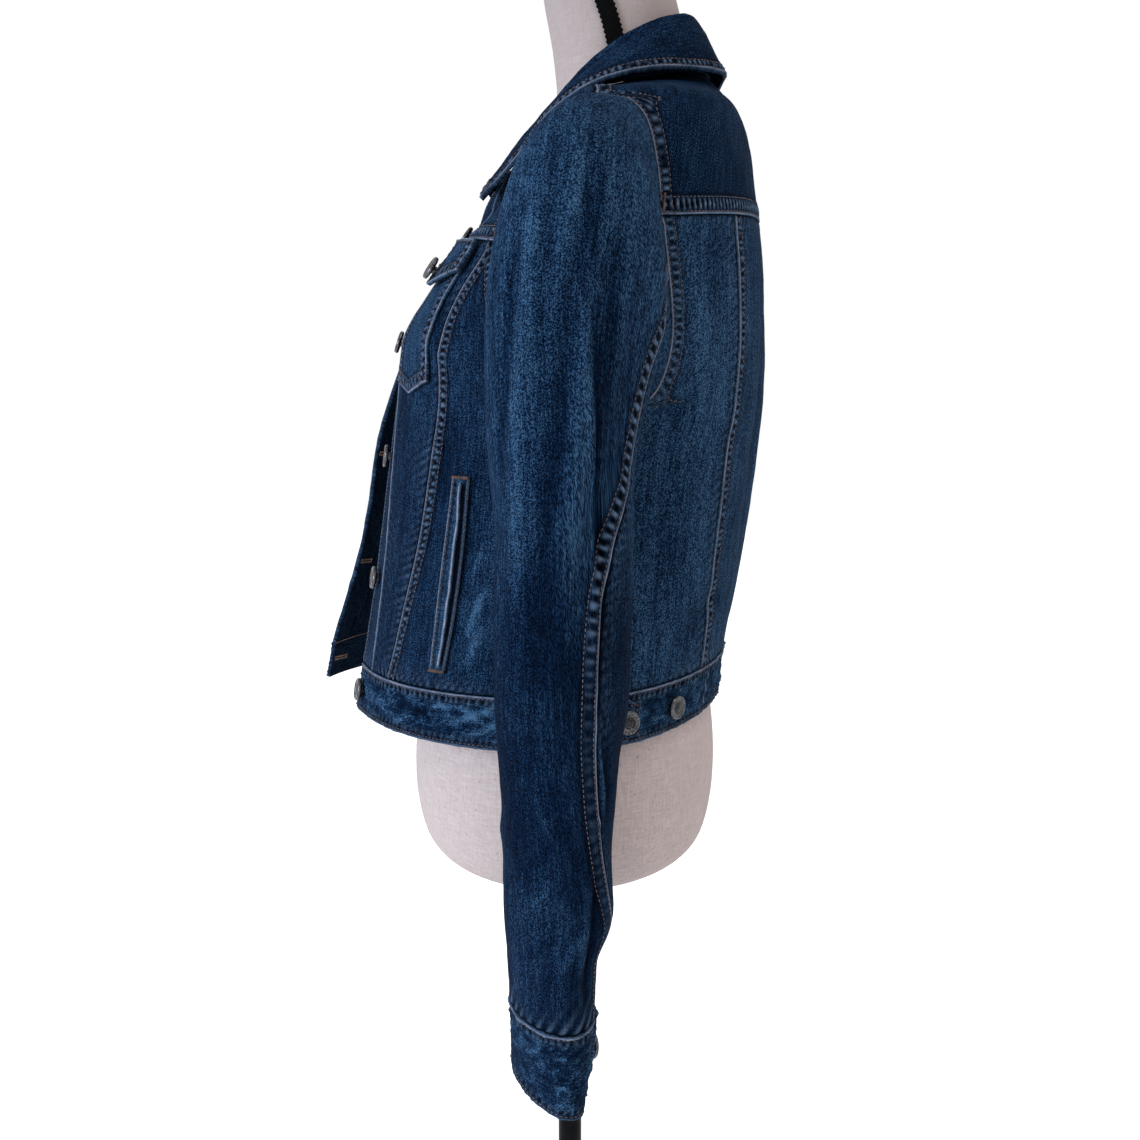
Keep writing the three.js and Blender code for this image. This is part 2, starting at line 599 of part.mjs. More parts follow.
// Slanted welts of the hand pockets. Their place across is a share of the depth from
// the side to the middle front.
const WELT_TOP_LEVEL = 3.72;
const WELT_FOOT_LEVEL = 1.28;
function angleAtShare(side, level, share) {
  const ySide = BODY.ySide(level);
  const yFront = side > 0 ? BODY.yFront(level) : BODY.yFrontRight(level);
  const power = BODY.squareFront(level);
  const across = BODY.halfWidth(level) * (1 - share ** power) ** (1 / power);
  return Math.atan2(across, share * (ySide - yFront)) / DEG;
}
for (const { side, label } of SIDES) {
  const weltPlace = (u, v) => {
    const level = lerp(WELT_FOOT_LEVEL, WELT_TOP_LEVEL, v);
    const share = lerp(lerp(0.56, 0.565, v), lerp(0.49, 0.48, v), u);
    return [side, angleAtShare(side, level, share), level];
  };
  laidOn(`welt_${label}`, side, weltPlace, evenSteps(3), evenSteps(8), () => PATCH_GAP, 1.6);
}

// Adjusting tabs on the waistband: they lie from the side towards the back.
const TAB_FROM_ANGLE = 84;
const TAB_TO_ANGLE = 109.8;
const TAB_HALF = 0.41;
for (const { side, label } of SIDES) {
  const tabPlace = (u, v) => {
    const half = TAB_HALF * (u > 0.9 ? 0.86 : 1);
    return [side, lerp(TAB_FROM_ANGLE, TAB_TO_ANGLE, u), 0.5 + half * (2 * v - 1)];
  };
  const steps = [0, 0.15, 0.3, 0.45, 0.6, 0.75, 0.9, 1];
  laidOn(`tab_${label}`, side, tabPlace, steps, evenSteps(2), () => PATCH_GAP, 2.2);
}

// Shank buttons: a turned metal cap on a short stem, standing on the cloth.
function button(name, foot, out) {
  const r = BUTTON_RADIUS;
  const cap = SHANK_HEIGHT;
  const profile = [
    [0, 0],
    [SHANK_RADIUS, 0],
    [SHANK_RADIUS, cap],
    [r - 1, cap],
    [r, cap + 1],
    [r - 0.4, cap + BUTTON_HEIGHT - 0.9],
    [r - 1.6, cap + BUTTON_HEIGHT],
    [r - 3.2, cap + BUTTON_HEIGHT - 0.8],
    [0, cap + BUTTON_HEIGHT - 0.2],
  ].map(([x, y]) => new THREE.Vector2(x, y));
  const geometry = new THREE.LatheGeometry(profile, 14);
  const turn = new THREE.Quaternion().setFromUnitVectors(new THREE.Vector3(0, 1, 0), out);
  const place = foot.clone().addScaledVector(out, SEAM_GAP);
  geometry.applyMatrix4(new THREE.Matrix4().compose(place, turn, new THREE.Vector3(1, 1, 1)));
  add(name, geometry, metal);
}

// Front buttons down the left placket, the lowest one on the waistband.
const FRONT_BUTTON_LEVELS = [0.5, 2.25, 3.87, 6.08, 8.3];
FRONT_BUTTON_LEVELS.forEach((level, i) => {
  const angle = angleAt(1, level, SEAMS.edgeLeft(level) + PLACKET_WIDTH / 2, false);
  button(`button_front_${i + 1}`, bodyPoint(1, angle, level), bodyNormal(1, angle, level));
});

const TAB_BUTTON_ANGLE = 106;
const SPARE_BUTTON_ANGLE = 121.6;
const FLAP_BUTTON_LEVEL = 7.22;
const CUFF_BUTTON_TURN = 0.955;
for (const { side, label } of SIDES) {
  const tabOut = bodyNormal(side, TAB_BUTTON_ANGLE, 0.5);
  const tabFace = bodyPoint(side, TAB_BUTTON_ANGLE, 0.5).addScaledVector(tabOut, PATCH_GAP + 2.2);
  button(`button_tab_${label}`, tabFace, tabOut);
  const spareOut = bodyNormal(side, SPARE_BUTTON_ANGLE, 0.5);
  button(`button_spare_${label}`, bodyPoint(side, SPARE_BUTTON_ANGLE, 0.5), spareOut);
  const flapMiddle = (FLAP_INNER + FLAP_OUTER) / 2;
  const flapAngle = angleAt(side, FLAP_BUTTON_LEVEL, flapMiddle, false);
  const flapOut = bodyNormal(side, flapAngle, FLAP_BUTTON_LEVEL);
  const flapShare = (FLAP_BUTTON_LEVEL - FLAP_POINT_LEVEL) / (FLAP_TOP_LEVEL - FLAP_POINT_LEVEL);
  const flapHeight = 2 * PATCH_GAP + 1.4 + (1 - flapShare) * 4 + 2.2;
  const flapFace = bodyPoint(side, flapAngle, FLAP_BUTTON_LEVEL).addScaledVector(flapOut, flapHeight + 0.6);
  button(`button_flap_${label}`, flapFace, flapOut);
  const cuffSurface = (u, v) => cuffPoint(side, u, v);
  const cuffOut = outward(cuffSurface, CUFF_BUTTON_TURN, 0.5, side < 0);
  button(`button_cuff_${label}`, cuffPoint(side, CUFF_BUTTON_TURN, 0.5), cuffOut);
}

// The dress form: sections from the underside to the top of the neck. From the waist
// up it follows the jacket's inside with a little room; each row says how much.
const FORM_ANGLES = 28;
function formRing(row) {
  const ring = [];
  for (let i = 0; i < FORM_ANGLES; i += 1) {
    const t = (2 * Math.PI * i) / FORM_ANGLES;
    const front = Math.cos(t) > 0;
    const depth = front ? row.ySide - row.yFront : row.yBack - row.ySide;
    const across = Math.abs(Math.sin(t)) / row.halfWidth;
    const along = Math.abs(Math.cos(t)) / depth;
    const reach = (across ** 2.1 + along ** 2.1) ** (-1 / 2.1);
    const end = front ? row.zFront : row.zBack;
    ring.push(
      new THREE.Vector3(
        reach * Math.sin(t),
        row.ySide - reach * Math.cos(t),
        lerp(row.zSide, end, Math.cos(t) ** 2),
      ),
    );
  }
  return ring;
}
function formRingInside(level, room) {
  const ring = [];
  for (let i = 0; i < FORM_ANGLES; i += 1) {
    const turn = (360 * i) / FORM_ANGLES;
    const side = turn <= 180 ? 1 : -1;
    const angle = turn <= 180 ? turn : 360 - turn;
    const p = bodyPoint(1, angle, level);
    const n = bodyNormal(1, angle, level);
    p.addScaledVector(n, -room);
    p.x *= side;
    ring.push(p);
  }
  return ring;
}
const flatRow = (z, halfWidth, yFront, yBack) =>
  formSection(z, z, z, halfWidth, (yFront + yBack) / 2, yFront, yBack);
// Columns: z, half width, y of the front and back.
const FORM_FLAT_ROWS = [
  [FORM_BOTTOM_Z, 118, -88, 78],
  [615, 138, -104, 94],
  [623, 150, -114, 105],
  [638, 158, -120, 111],
  [665, 164, -124, 115],
  [700, 165, -123, 115],
  [740, 161, -116, 110],
  [790, 146, -99, 98],
  [840, 127, -88, 88],
  [885, 118, -88, 84],
  [930, 126, -103, 90],
  [965, 137, -116, 100],
];
// Columns: z at the front, side and back, half width, y of the side, front and back.
const formSection = (zFront, zSide, zBack, halfWidth, ySide, yFront, yBack) => ({
  zFront,
  zSide,
  zBack,
  halfWidth,
  ySide,
  yFront,
  yBack,
});
const NECK_ROWS = [
  formSection(1136, 1188, 1211, 56, 22, -38, 90),
  formSection(1176, 1206, 1225, 52.5, 28, -12, 86),
  formSection(1215, 1231, 1242, 51, 31, -12, 84),
  formSection(1258, 1261, 1265, 50.5, 29, -19.5, 78),
  formSection(NECK_TOP_Z, NECK_TOP_Z, NECK_TOP_Z, 50, 25, -24, 73),
];

// A closed body through rings of points, with a fan at both ends.
function loft(rings) {
  const positions = [];
  const count = rings[0].length;
  rings.forEach((ring) => ring.forEach((p) => positions.push(p.x, p.y, p.z)));
  const faces = [];
  for (let j = 0; j < rings.length - 1; j += 1) {
    for (let i = 0; i < count; i += 1) {
      const k = (i + 1) % count;
      const a = j * count;
      const b = a + count;
      faces.push(a + i, a + k, b + k, a + i, b + k, b + i);
    }
  }
  for (const end of [0, rings.length - 1]) {
    const middle = new THREE.Vector3();
    rings[end].forEach((p) => middle.addScaledVector(p, 1 / count));
    const at = positions.length / 3;
    positions.push(middle.x, middle.y, middle.z);
    for (let i = 0; i < count; i += 1) {
      const k = (i + 1) % count;
      const a = end * count;
      if (end === 0) faces.push(at, a + k, a + i);
      else faces.push(at, a + i, a + k);
    }
  }
  const geometry = new THREE.BufferGeometry();
  geometry.setAttribute("position", new THREE.Float32BufferAttribute(positions, 3));
  geometry.setIndex(faces);
  return facingOut(geometry);
}
const NECK_SIDE = columns(
  "z halfWidth ySide yFront",
  NECK_ROWS.map((row) => [row.zSide, row.halfWidth, row.ySide, row.yFront]),
);
const formRings = [
  ...FORM_FLAT_ROWS.map((row) => formRing(flatRow(...row))),
  formRingInside(6, 8),
  formRingInside(7, 6),
  formRingInside(YOKE, 5),
  formRingInside(9, 5.5),
  formRingInside(9.5, 5.5),
  formRingInside(SHOULDER, 4.4),
  formRingInside(10.6, 3.6),
  formRingInside(11.3, 3.6),
  formRingInside(NECK, 4.6),
  ...NECK_ROWS.map(formRing),
];
add("form_body", loft(formRings), formCloth);

// A flat cap closes the neck, and a narrow trim strip covers the seam on each side of it.
const CAP_HEIGHT = 7;
const capRing = (z, grow) => formRing(formSection(z, z, z, 50 + grow, 25, -24 - grow, 73 + grow));
add("neck_cap", loft([
  capRing(NECK_TOP_Z + SEAM_GAP, 1),
  capRing(NECK_TOP_Z + SEAM_GAP + 1.5, 2.5),
  capRing(NECK_TOP_Z + SEAM_GAP + CAP_HEIGHT - 2, 2.5),
  capRing(NECK_TOP_Z + SEAM_GAP + CAP_HEIGHT, 0.5),
]), blackMetal);

const TRIM_HALF = 6.5;
const TRIM_LIFT = 1.2;
const TRIM_FROM_Z = 1210;
const TRIM = columns("z y", [
  [TRIM_FROM_Z, 33.5],
  [1225, 30],
  [1255, 20],
  [NECK_TOP_Z - 1, 10],
]);
for (const { side, label } of SIDES) {
  const trimSurface = (u, v) => {
    const z = lerp(TRIM_FROM_Z, NECK_TOP_Z - 1, v);
    const y = TRIM.y(z) + lerp(-TRIM_HALF, TRIM_HALF, u);
    const ySide = NECK_SIDE.ySide(z);
    const depth = ySide - NECK_SIDE.yFront(z) + TRIM_LIFT;
    const share = Math.min(1, Math.abs(y - ySide) / depth);
    const x = (NECK_SIDE.halfWidth(z) + TRIM_LIFT) * (1 - share ** 2.1) ** (1 / 2.1);
    return new THREE.Vector3(side * x, y, z);
  };
  add(`neck_trim_${label}`, wall(trimSurface, evenSteps(3), evenSteps(8), 0, 1.2, side < 0), blackTrim);
}

// The stand: a pole and a round base.
function turned(name, profile, segments, material) {
  const geometry = new THREE.LatheGeometry(
    profile.map(([x, y]) => new THREE.Vector2(x, y)),
    segments,
  );
  geometry.rotateX(Math.PI / 2);
  add(name, facingOut(geometry), material);
}
turned("pole", [
  [0, BASE_HEIGHT + SEAM_GAP],
  [POLE_RADIUS, BASE_HEIGHT + SEAM_GAP],
  [POLE_RADIUS, FORM_BOTTOM_Z - SEAM_GAP],
  [0, FORM_BOTTOM_Z - SEAM_GAP],
], 28, blackMetal);
turned("base", [
  [0, 0],
  [BASE_RADIUS - 1.5, 0],
  [BASE_RADIUS, 1.5],
  [BASE_RADIUS, BASE_HEIGHT - 3],
  [BASE_RADIUS - 3, BASE_HEIGHT],
  [0, BASE_HEIGHT],
], 64, blackMetal);

export default part;
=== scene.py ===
"""Looks of a short denim jacket on a limbless dress form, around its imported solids.

The frame is in metres: +Z up, the jacket's front faces -Y, the wearer's left is +X.
Sizes below are in millimetres unless they say otherwise, and go to metres in make_mesh().
"""

import itertools
import math
from collections import namedtuple
from types import SimpleNamespace

import bpy
import numpy as np
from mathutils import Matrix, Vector


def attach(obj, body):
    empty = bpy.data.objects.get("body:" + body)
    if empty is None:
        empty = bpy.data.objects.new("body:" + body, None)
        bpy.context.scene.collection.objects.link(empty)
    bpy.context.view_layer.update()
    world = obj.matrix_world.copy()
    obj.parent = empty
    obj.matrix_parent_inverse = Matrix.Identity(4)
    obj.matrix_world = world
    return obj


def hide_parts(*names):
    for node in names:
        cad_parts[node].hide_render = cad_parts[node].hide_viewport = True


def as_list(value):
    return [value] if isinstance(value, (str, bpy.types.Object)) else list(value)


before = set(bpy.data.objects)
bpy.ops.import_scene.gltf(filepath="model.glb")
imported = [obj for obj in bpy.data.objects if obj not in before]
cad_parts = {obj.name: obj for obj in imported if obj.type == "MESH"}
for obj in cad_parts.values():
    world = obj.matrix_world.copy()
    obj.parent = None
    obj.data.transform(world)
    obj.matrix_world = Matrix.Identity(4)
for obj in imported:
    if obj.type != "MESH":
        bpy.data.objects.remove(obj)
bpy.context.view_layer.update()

MM = 0.001

# Camera and light

CAMERA_PLACE = (0.910, 0.0, 0.950)
CAMERA_DROP = 0.136
LENS_MM = 36.0
SENSOR_MM = 36.0

# Each light's place, target, diameter, power in watts and colour
KEY_LIGHT = ((1.2, -2.0, 1.3), (0.1, 0, 0.9), 1.0, 62, (0.70, 0.84, 1.0))
TOP_LIGHT = ((0.7, 0.5, 2.5), (0.1, 0, 1.0), 0.8, 9, (1.0, 0.97, 0.94))


def new_object(name, data):
    obj = bpy.data.objects.new(name, data)
    bpy.context.scene.collection.objects.link(obj)
    return obj


def aim(obj, direction):
    obj.rotation_euler = Vector(direction).to_track_quat("-Z", "Y").to_euler()


def make_camera():
    data = bpy.data.cameras.new("camera")
    data.lens = LENS_MM
    data.sensor_width = SENSOR_MM
    cam = new_object("camera", data)
    cam.location = CAMERA_PLACE
    aim(cam, (-1, 0, -CAMERA_DROP))
    bpy.context.scene.camera = cam


def area_light(name, place, target, size, power, color):
    data = bpy.data.lights.new(name, "AREA")
    data.shape = "DISK"
    data.size = size
    data.energy = power
    data.color = color
    lamp = new_object(name, data)
    lamp.location = place
    aim(lamp, Vector(target) - Vector(place))


def make_light():
    world = bpy.data.worlds.new("studio")
    world.use_nodes = True
    background = world.node_tree.nodes["Background"]
    background.inputs["Color"].default_value = (1, 1, 1, 1)
    background.inputs["Strength"].default_value = 1.0
    bpy.context.scene.world = world
    bpy.context.scene.view_settings.view_transform = "Standard"
    area_light("key", *KEY_LIGHT)
    area_light("top", *TOP_LIGHT)


# Tables and curves


def curve(key, value):
    """A monotone cubic through the rows of a table."""
    slope = np.diff(value) / np.diff(key)
    product = slope[:-1] * slope[1:]
    total = np.where(product > 0, slope[:-1] + slope[1:], 1)
    inner = np.where(product > 0, 2 * product / total, 0)
    tangent = np.concatenate([slope[:1], inner, slope[-1:]])

    def at(x):
        x = np.clip(x, key[0], key[-1])
        i = np.clip(np.searchsorted(key, x) - 1, 0, len(key) - 2)
        width = key[i + 1] - key[i]
        t = (x - key[i]) / width
        a = (1 + 2 * t) * (1 - t) ** 2 * value[i]
        b = t * (1 - t) ** 2 * width * tangent[i]
        c = t * t * (3 - 2 * t) * value[i + 1]
        d = t * t * (t - 1) * width * tangent[i + 1]
        return a + b + c + d

    return at


def columns(names, rows):
    data = np.array(rows, float)
    named = list(enumerate(names.split()))[1:]
    return SimpleNamespace(**{name: curve(data[:, 0], data[:, i]) for i, name in named})


def mix(a, b, t):
    return a + (b - a) * t


def clamp01(t):
    return np.clip(t, 0, 1)


def smooth(low, high, x):
    t = clamp01((x - low) / (high - low))
    return t * t * (3 - 2 * t)


def hump(x, width):
    return np.exp(-((x / width) ** 2))


def bell(t):
    return np.where(np.abs(t) >= 1, 0, np.cos(np.pi / 2 * np.clip(t, -1, 1)) ** 2)


# Large primes that scatter whole numbers over 32 bits
HASH_CELL, HASH_SEED = (73856093, 19349663, 83492791), 2654435761
HASH_ROUNDS = ((15, 2246822519), (13, 3266489917))
ALL_BITS = 0xFFFFFFFF


def hashed(cell, seed):
    """An even random number from -1 to 1 for each whole-number cell."""
    x, y, z = (cell[..., i] * HASH_CELL[i] for i in range(3))
    h = (x ^ y ^ z ^ (seed * HASH_SEED)) & ALL_BITS
    for shift, factor in HASH_ROUNDS:
        h = ((h ^ (h >> shift)) * factor) & ALL_BITS
    return (h ^ (h >> 16)) / (ALL_BITS >> 1) - 1


def noise(points, scale, seed):
    """Smooth noise from -1 to 1 at points, with lumps of the given size."""
    q = points / np.asarray(scale, float)
    cell = np.floor(q).astype(np.int64)
    f = q - cell
    f = f * f * (3 - 2 * f)
    total = 0
    for corner in itertools.product((0, 1), repeat=3):
        c = np.array(corner)
        weight = np.prod(np.where(c == 1, f, 1 - f), axis=-1)
        total = total + weight * hashed(cell + c, seed)
    return total


def noise_along(s, scale, seed):
    return noise(np.stack([s, 0 * s + 0.5, 0 * s + 0.5], -1), scale, seed)


# The body of the jacket

HEM, BAND_TOP, ARMPIT, YOKE, SHOULDER, NECK = 0, 1, 5, 8, 10, 12
BODY = columns(
    "level zFront zSide zSideBack zBack halfWidth ySide yFront yFrontRight yBack"
    " squareFront squareBack hollow lean",
    [
        [HEM, 729, 728, 728, 737, 178, -12, -171, -213, 119, 2.0, 1.9, 0, 2],
        [BAND_TOP, 761, 764, 764, 771, 176, -10, -165, -206, 123, 2.0, 1.9, 0, 2],
        [2, 815, 813, 813, 818, 171, -5, -155, -187, 131, 2.05, 1.95, 0, 2],
        [3, 870, 868, 868, 873, 167, 0, -146, -171, 138.5, 2.1, 2.0, 0, 2],
        [4, 925, 922, 922, 928, 168, 5, -138, -160, 144.5, 2.15, 2.0, 0, 2],
        [ARMPIT, 960, 955, 955, 962, 170, 10, -133, -148, 147.5, 2.2, 2.05, 0, 2],
        [6, 1000, 993, 993, 1005, 172, 10, -127, -132, 148.5, 2.3, 2.1, 0, 2],
        [7, 1038, 1024, 1030, 1047, 172, 9, -102, -106, 147, 2.6, 2.15, 0, 2],
        [YOKE, 1074, 1052, 1073, 1091, 173, 8, -77, -81, 142, 2.6, 2.2, 0, 2],
        [9, 1084, 1100, 1104, 1125, 177, 11, -71, -75, 136, 2.3, 2.2, 8, 1.8],
        [SHOULDER, 1092, 1143, 1143, 1160, 183, 16, -67, -71, 127, 2.0, 2.1, 16, 1.6],
        [11, 1100, 1164, 1164, 1183, 122, 15, -65, -68, 117, 2.0, 2.0, 8, 1.25],
        [NECK, 1109, 1178, 1178, 1203, 66, 12, -62, -65, 102, 2.0, 2.0, 0, 1.1],
    ],
)
SEAMS = columns(
    "level edgeLeft edgeRight frontSeam backSeam",
    [
        [HEM, 52, 42, 108, 104],
        [BAND_TOP, 50, 41, 110, 105],
        [2, 45, 38, 115, 108],
        [3, 38, 34, 121, 112],
        [4, 28, 28, 126, 115],
        [ARMPIT, 22, 24, 130, 117],
        [6, 20, 22, 133, 118],
        [7, 24, 25, 137, 119],
        [YOKE, 26, 27, 140, 120],
        [NECK, 22, 22, 140, 120],
    ],
)
PLACKET_WIDTH = 34
SIDE_SEAM_ANGLE = 95
CLOTH = 1.8
DOUBLE_CLOTH = 2.6
SEAM_GAP = 0.35
PATCH_GAP = 0.8


def y_front(side, level):
    return np.where(side > 0, BODY.yFront(level), BODY.yFrontRight(level))


def body_point(side, angle, level):
    side, angle, level = np.broadcast_arrays(*(np.asarray(x, float) for x in (side, angle, level)))
    t = np.radians(angle)
    front = angle < 90
    y_side = BODY.ySide(level)
    depth = np.where(front, y_side - y_front(side, level), BODY.yBack(level) - y_side)
    power = np.where(front, BODY.squareFront(level), BODY.squareBack(level))
    across = np.abs(np.sin(t)) / BODY.halfWidth(level)
    along = np.abs(np.cos(t)) / depth
    reach = (across**power + along**power) ** (-1 / power)
    to_middle = (np.abs(reach * np.cos(t)) / depth) ** BODY.lean(level)
    z_end = np.where(front, BODY.zFront(level), BODY.zBack(level))
    z_side = np.where(front, BODY.zSide(level), BODY.zSideBack(level))
    hollow = BODY.hollow(level) * np.sin(np.pi * clamp01((angle - 20) / 68)) ** 2
    return np.stack(
        [
            side * reach * np.sin(t),
            y_side - reach * np.cos(t) + hollow,
            z_side + (z_end - z_side) * to_middle,
        ],
        -1,
    )


def unit(v):
    return v / np.maximum(np.linalg.norm(v, axis=-1, keepdims=True), 1e-9)


def body_normal(side, angle, level):
    step, turn = 0.002, 1.5
    du = body_point(side, angle + turn, level) - body_point(side, angle - turn, level)
    above = body_point(side, angle, np.minimum(NECK, level + step))
    below = body_point(side, angle, np.maximum(HEM, level - step))
    return unit(np.cross(du, above - below)) * np.asarray(side, float)[..., None]


def angle_at(side, level, distance, behind):
    """The angle at which a section is so far from the middle plane."""
    y_side = BODY.ySide(level)
    depth = BODY.yBack(level) - y_side if behind else y_side - y_front(side, level)
    power = BODY.squareBack(level) if behind else BODY.squareFront(level)
    share = np.minimum(1, distance / BODY.halfWidth(level))
    away = depth * (1 - share**power) ** (1 / power)
    angle = np.degrees(np.arctan2(distance, away))
    return 180 - angle if behind else angle


def angle_at_share(side, level, share):
    y_side = BODY.ySide(level)
    power = BODY.squareFront(level)
    across = BODY.halfWidth(level) * (1 - share**power) ** (1 / power)
    return np.degrees(np.arctan2(across, share * (y_side - y_front(side, level))))


def edge_distance(side, level):
    return SEAMS.edgeLeft(level) if side > 0 else SEAMS.edgeRight(level)


def edge_angle(side, level):
    return angle_at(side, level, edge_distance(side, level), False)


def placket_angle(side, level):
    return angle_at(side, level, edge_distance(side, level) + PLACKET_WIDTH, False)


def front_seam_angle(side, level):
    return angle_at(side, level, SEAMS.frontSeam(level), False)


def back_seam_angle(side, level):
    return angle_at(side, level, SEAMS.backSeam(level), True)


ARMHOLE_FRONT_ANGLE = 21
ARMHOLE_BACK_ANGLE = 17
ARMHOLE_SQUARE = 2.4


def side_angle(level, behind):
    middle = mix(SIDE_SEAM_ANGLE, 90, clamp01((level - ARMPIT) / 3))
    height = clamp01((level - ARMPIT) / (SHOULDER - ARMPIT)) ** 0.85
    share = (1 - np.abs(2 * height - 1) ** ARMHOLE_SQUARE) ** (1 / ARMHOLE_SQUARE)
    return middle + ARMHOLE_BACK_ANGLE * share if behind else middle - ARMHOLE_FRONT_ANGLE * share


def side_seam_angle(side, level):
    return SIDE_SEAM_ANGLE + 0 * level


def panel_side_angle(level, behind):
    return np.where(level <= ARMPIT, SIDE_SEAM_ANGLE, side_angle(level, behind))


def front_side_angle(side, level):
    return panel_side_angle(level, False)


def back_side_angle(side, level):
    return panel_side_angle(level, True)


def yoke_front_angle(side, level):
    return np.where(level >= SHOULDER, 90, side_angle(level, False))


def yoke_back_angle(side, level):
    return np.where(level >= SHOULDER, 90, side_angle(level, True))


# Sleeves

CUFF_ROW = 17
SLEEVE = columns(
    "row innerX innerZ outerX outerZ yFront yBack seam fold shear",
    [
        [0, 171, 950, 186, 1144, -46, 58, 100, 0, 0],
        [1, 177, 944, 206, 1137, -44, 58, 100, 0, 0],
        [2, 182, 930, 228, 1123, -47, 58, 98, 0, 0],
        [3, 184, 915, 246, 1100, -50, 56, 95, 0, 0],
        [4, 185, 898, 258, 1070, -51, 50, 92, 1, 0],
        [5, 185, 880, 265, 1036, -51, 44, 90, 3, 0],
        [6, 185, 862, 269, 998, -50, 40, 86, 5, 0],
        [7, 185, 843, 271, 960, -47, 38, 78, 6, 0],
        [8, 185, 822, 272, 922, -45, 38, 62, 6, 0],
        [9, 185, 800, 272, 884, -46, 38, 45, 5, 0],
        [10, 185, 775, 272, 845, -46.5, 37, 36, 4, 0],
        [11, 185, 748, 272, 805, -46.5, 36, 33, 3, 0],
        [12, 185, 722, 271, 765, -45, 31, 33, 1, 2],
        [13, 184, 697, 269, 725, -43, 28, 36, 0, 4],
        [14, 183, 670, 267, 687, -42.5, 26, 44, 0, 7],
        [15, 182, 641, 265, 648, -43, 27, 56, 0, 9],
        [16, 181, 611, 263, 611, -41.5, 16, 66, 0, 10],
        [CUFF_ROW, 183, 573.9, 260, 573.9, -39.5, 14.5, 74, 0, 10],
    ],
)


def armhole_point(side, angle):
    level = mix(ARMPIT, SHOULDER, (1 + np.cos(np.radians(angle))) / 2)
    behind = np.mod(angle, 360) > 180
    a = np.where(behind, side_angle(level, True), side_angle(level, False))
    p = body_point(side, np.where(level >= SHOULDER - 1e-6, 90, a), level)
    p[..., 0] += side * 0.7
    return p


def sleeve_point(side, angle, row):
    t = np.radians(angle)
    y_middle = (SLEEVE.yFront(row) + SLEEVE.yBack(row)) / 2
    shear = SLEEVE.shear(row)
    y_half = np.sqrt(((SLEEVE.yBack(row) - SLEEVE.yFront(row)) / 2) ** 2 - shear**2)
    away = np.mod(angle + SLEEVE.seam(row) - 20 + 180, 360) - 180
    depth = SLEEVE.fold(row) * bell(away / 32)
    across = (1 + np.cos(t)) / 2
    x = mix(SLEEVE.innerX(row), SLEEVE.outerX(row), across) - depth * np.cos(t)
    y = y_middle + shear * np.cos(t) - (y_half - depth) * np.sin(t)
    z = mix(SLEEVE.innerZ(row), SLEEVE.outerZ(row), across)
    p = np.stack([side * x, y, z], -1)
    q = armhole_point(side, angle)
    q[..., 0] += side * np.minimum(row, 1) * 9
    ease = smooth(0, 1.6, row)[..., None]
    return mix(q, p, ease)


CUFF = columns(
    "row halfX halfY middleX middleY z shear rise",
    [
        [0, 38.6, 25.2, 221.5, -12.4, 574.2, 10, 0],
        [1, 37.5, 22.6, 220.5, -13.6, 546, 12, 0.1],
        [2, 37, 19.8, 219.5, -15.2, 519.5, 13, 0.2],
    ],
)
CUFF_START, CUFF_TURN = 250, 392


def cuff_point(side, turn, v):
    row = mix(0.012, 2, v)
    t = np.radians(CUFF_START + CUFF_TURN * turn)
    lift = (DOUBLE_CLOTH + 0.4) * smooth(0.86, 0.92, turn)
    y = CUFF.shear(row) * np.cos(t) - (CUFF.halfY(row) + lift) * np.sin(t)
    x = CUFF.middleX(row) + (CUFF.halfX(row) + lift) * np.cos(t)
    return np.stack([side * x, CUFF.middleY(row) + y, CUFF.z(row) - CUFF.rise(row) * y], -1)


# Collar

COLLAR_COLUMNS = "way foldX foldY foldZ edgeX edgeY edgeZ"
COLLAR_LEFT = columns(
    COLLAR_COLUMNS,
    [
        [0, 0, 97, 1240, 0, 118, 1204],
        [0.25, 45, 82, 1234, 62, 107, 1190],
        [0.5, 72, 46, 1216, 98, 64, 1183],
        [0.65, 77, 16, 1195, 108, 26, 1174],
        [0.8, 68, -13, 1167, 103, -11, 1154.5],
        [0.9, 54, -37, 1144, 93, -32, 1130],
        [1, 37, -61, 1117, 80, -62, 1100],
    ],
)
COLLAR_RIGHT = columns(
    COLLAR_COLUMNS,
    [
        [0, 0, 97, 1240, 0, 118, 1204],
        [0.25, 45, 82, 1234, 62, 107, 1190],
        [0.5, 72, 46, 1217, 98, 64, 1184],
        [0.65, 77, 16, 1197, 108, 26, 1174],
        [0.8, 68, -12, 1170, 104, -10, 1163],
        [0.9, 54, -37, 1145, 92, -37, 1156],
        [1, 37, -64, 1118, 77, -62, 1147],
    ],
)
COLLAR_WALL = 2.6
COLLAR_BASE = NECK - 0.12


def through_points(points, share):
    """A smooth curve through a few points, each an array of places."""
    points = np.stack(points)
    last = len(points) - 1
    place = clamp01(share) * last
    i = np.minimum(np.floor(place).astype(int), last - 1)
    t = (place - i)[..., None]

    def pick(k):
        k = np.clip(k, 0, last)
        return np.take_along_axis(points, k[None, ..., None], axis=0)[0]

    before, start, end, after = pick(i - 1), pick(i), pick(i + 1), pick(i + 2)
    return (
        start * (1 + 2 * t) * (1 - t) ** 2
        + (end - before) / 2 * t * (1 - t) ** 2
        + end * t * t * (3 - 2 * t)
        + (after - start) / 2 * t * t * (t - 1)
    )


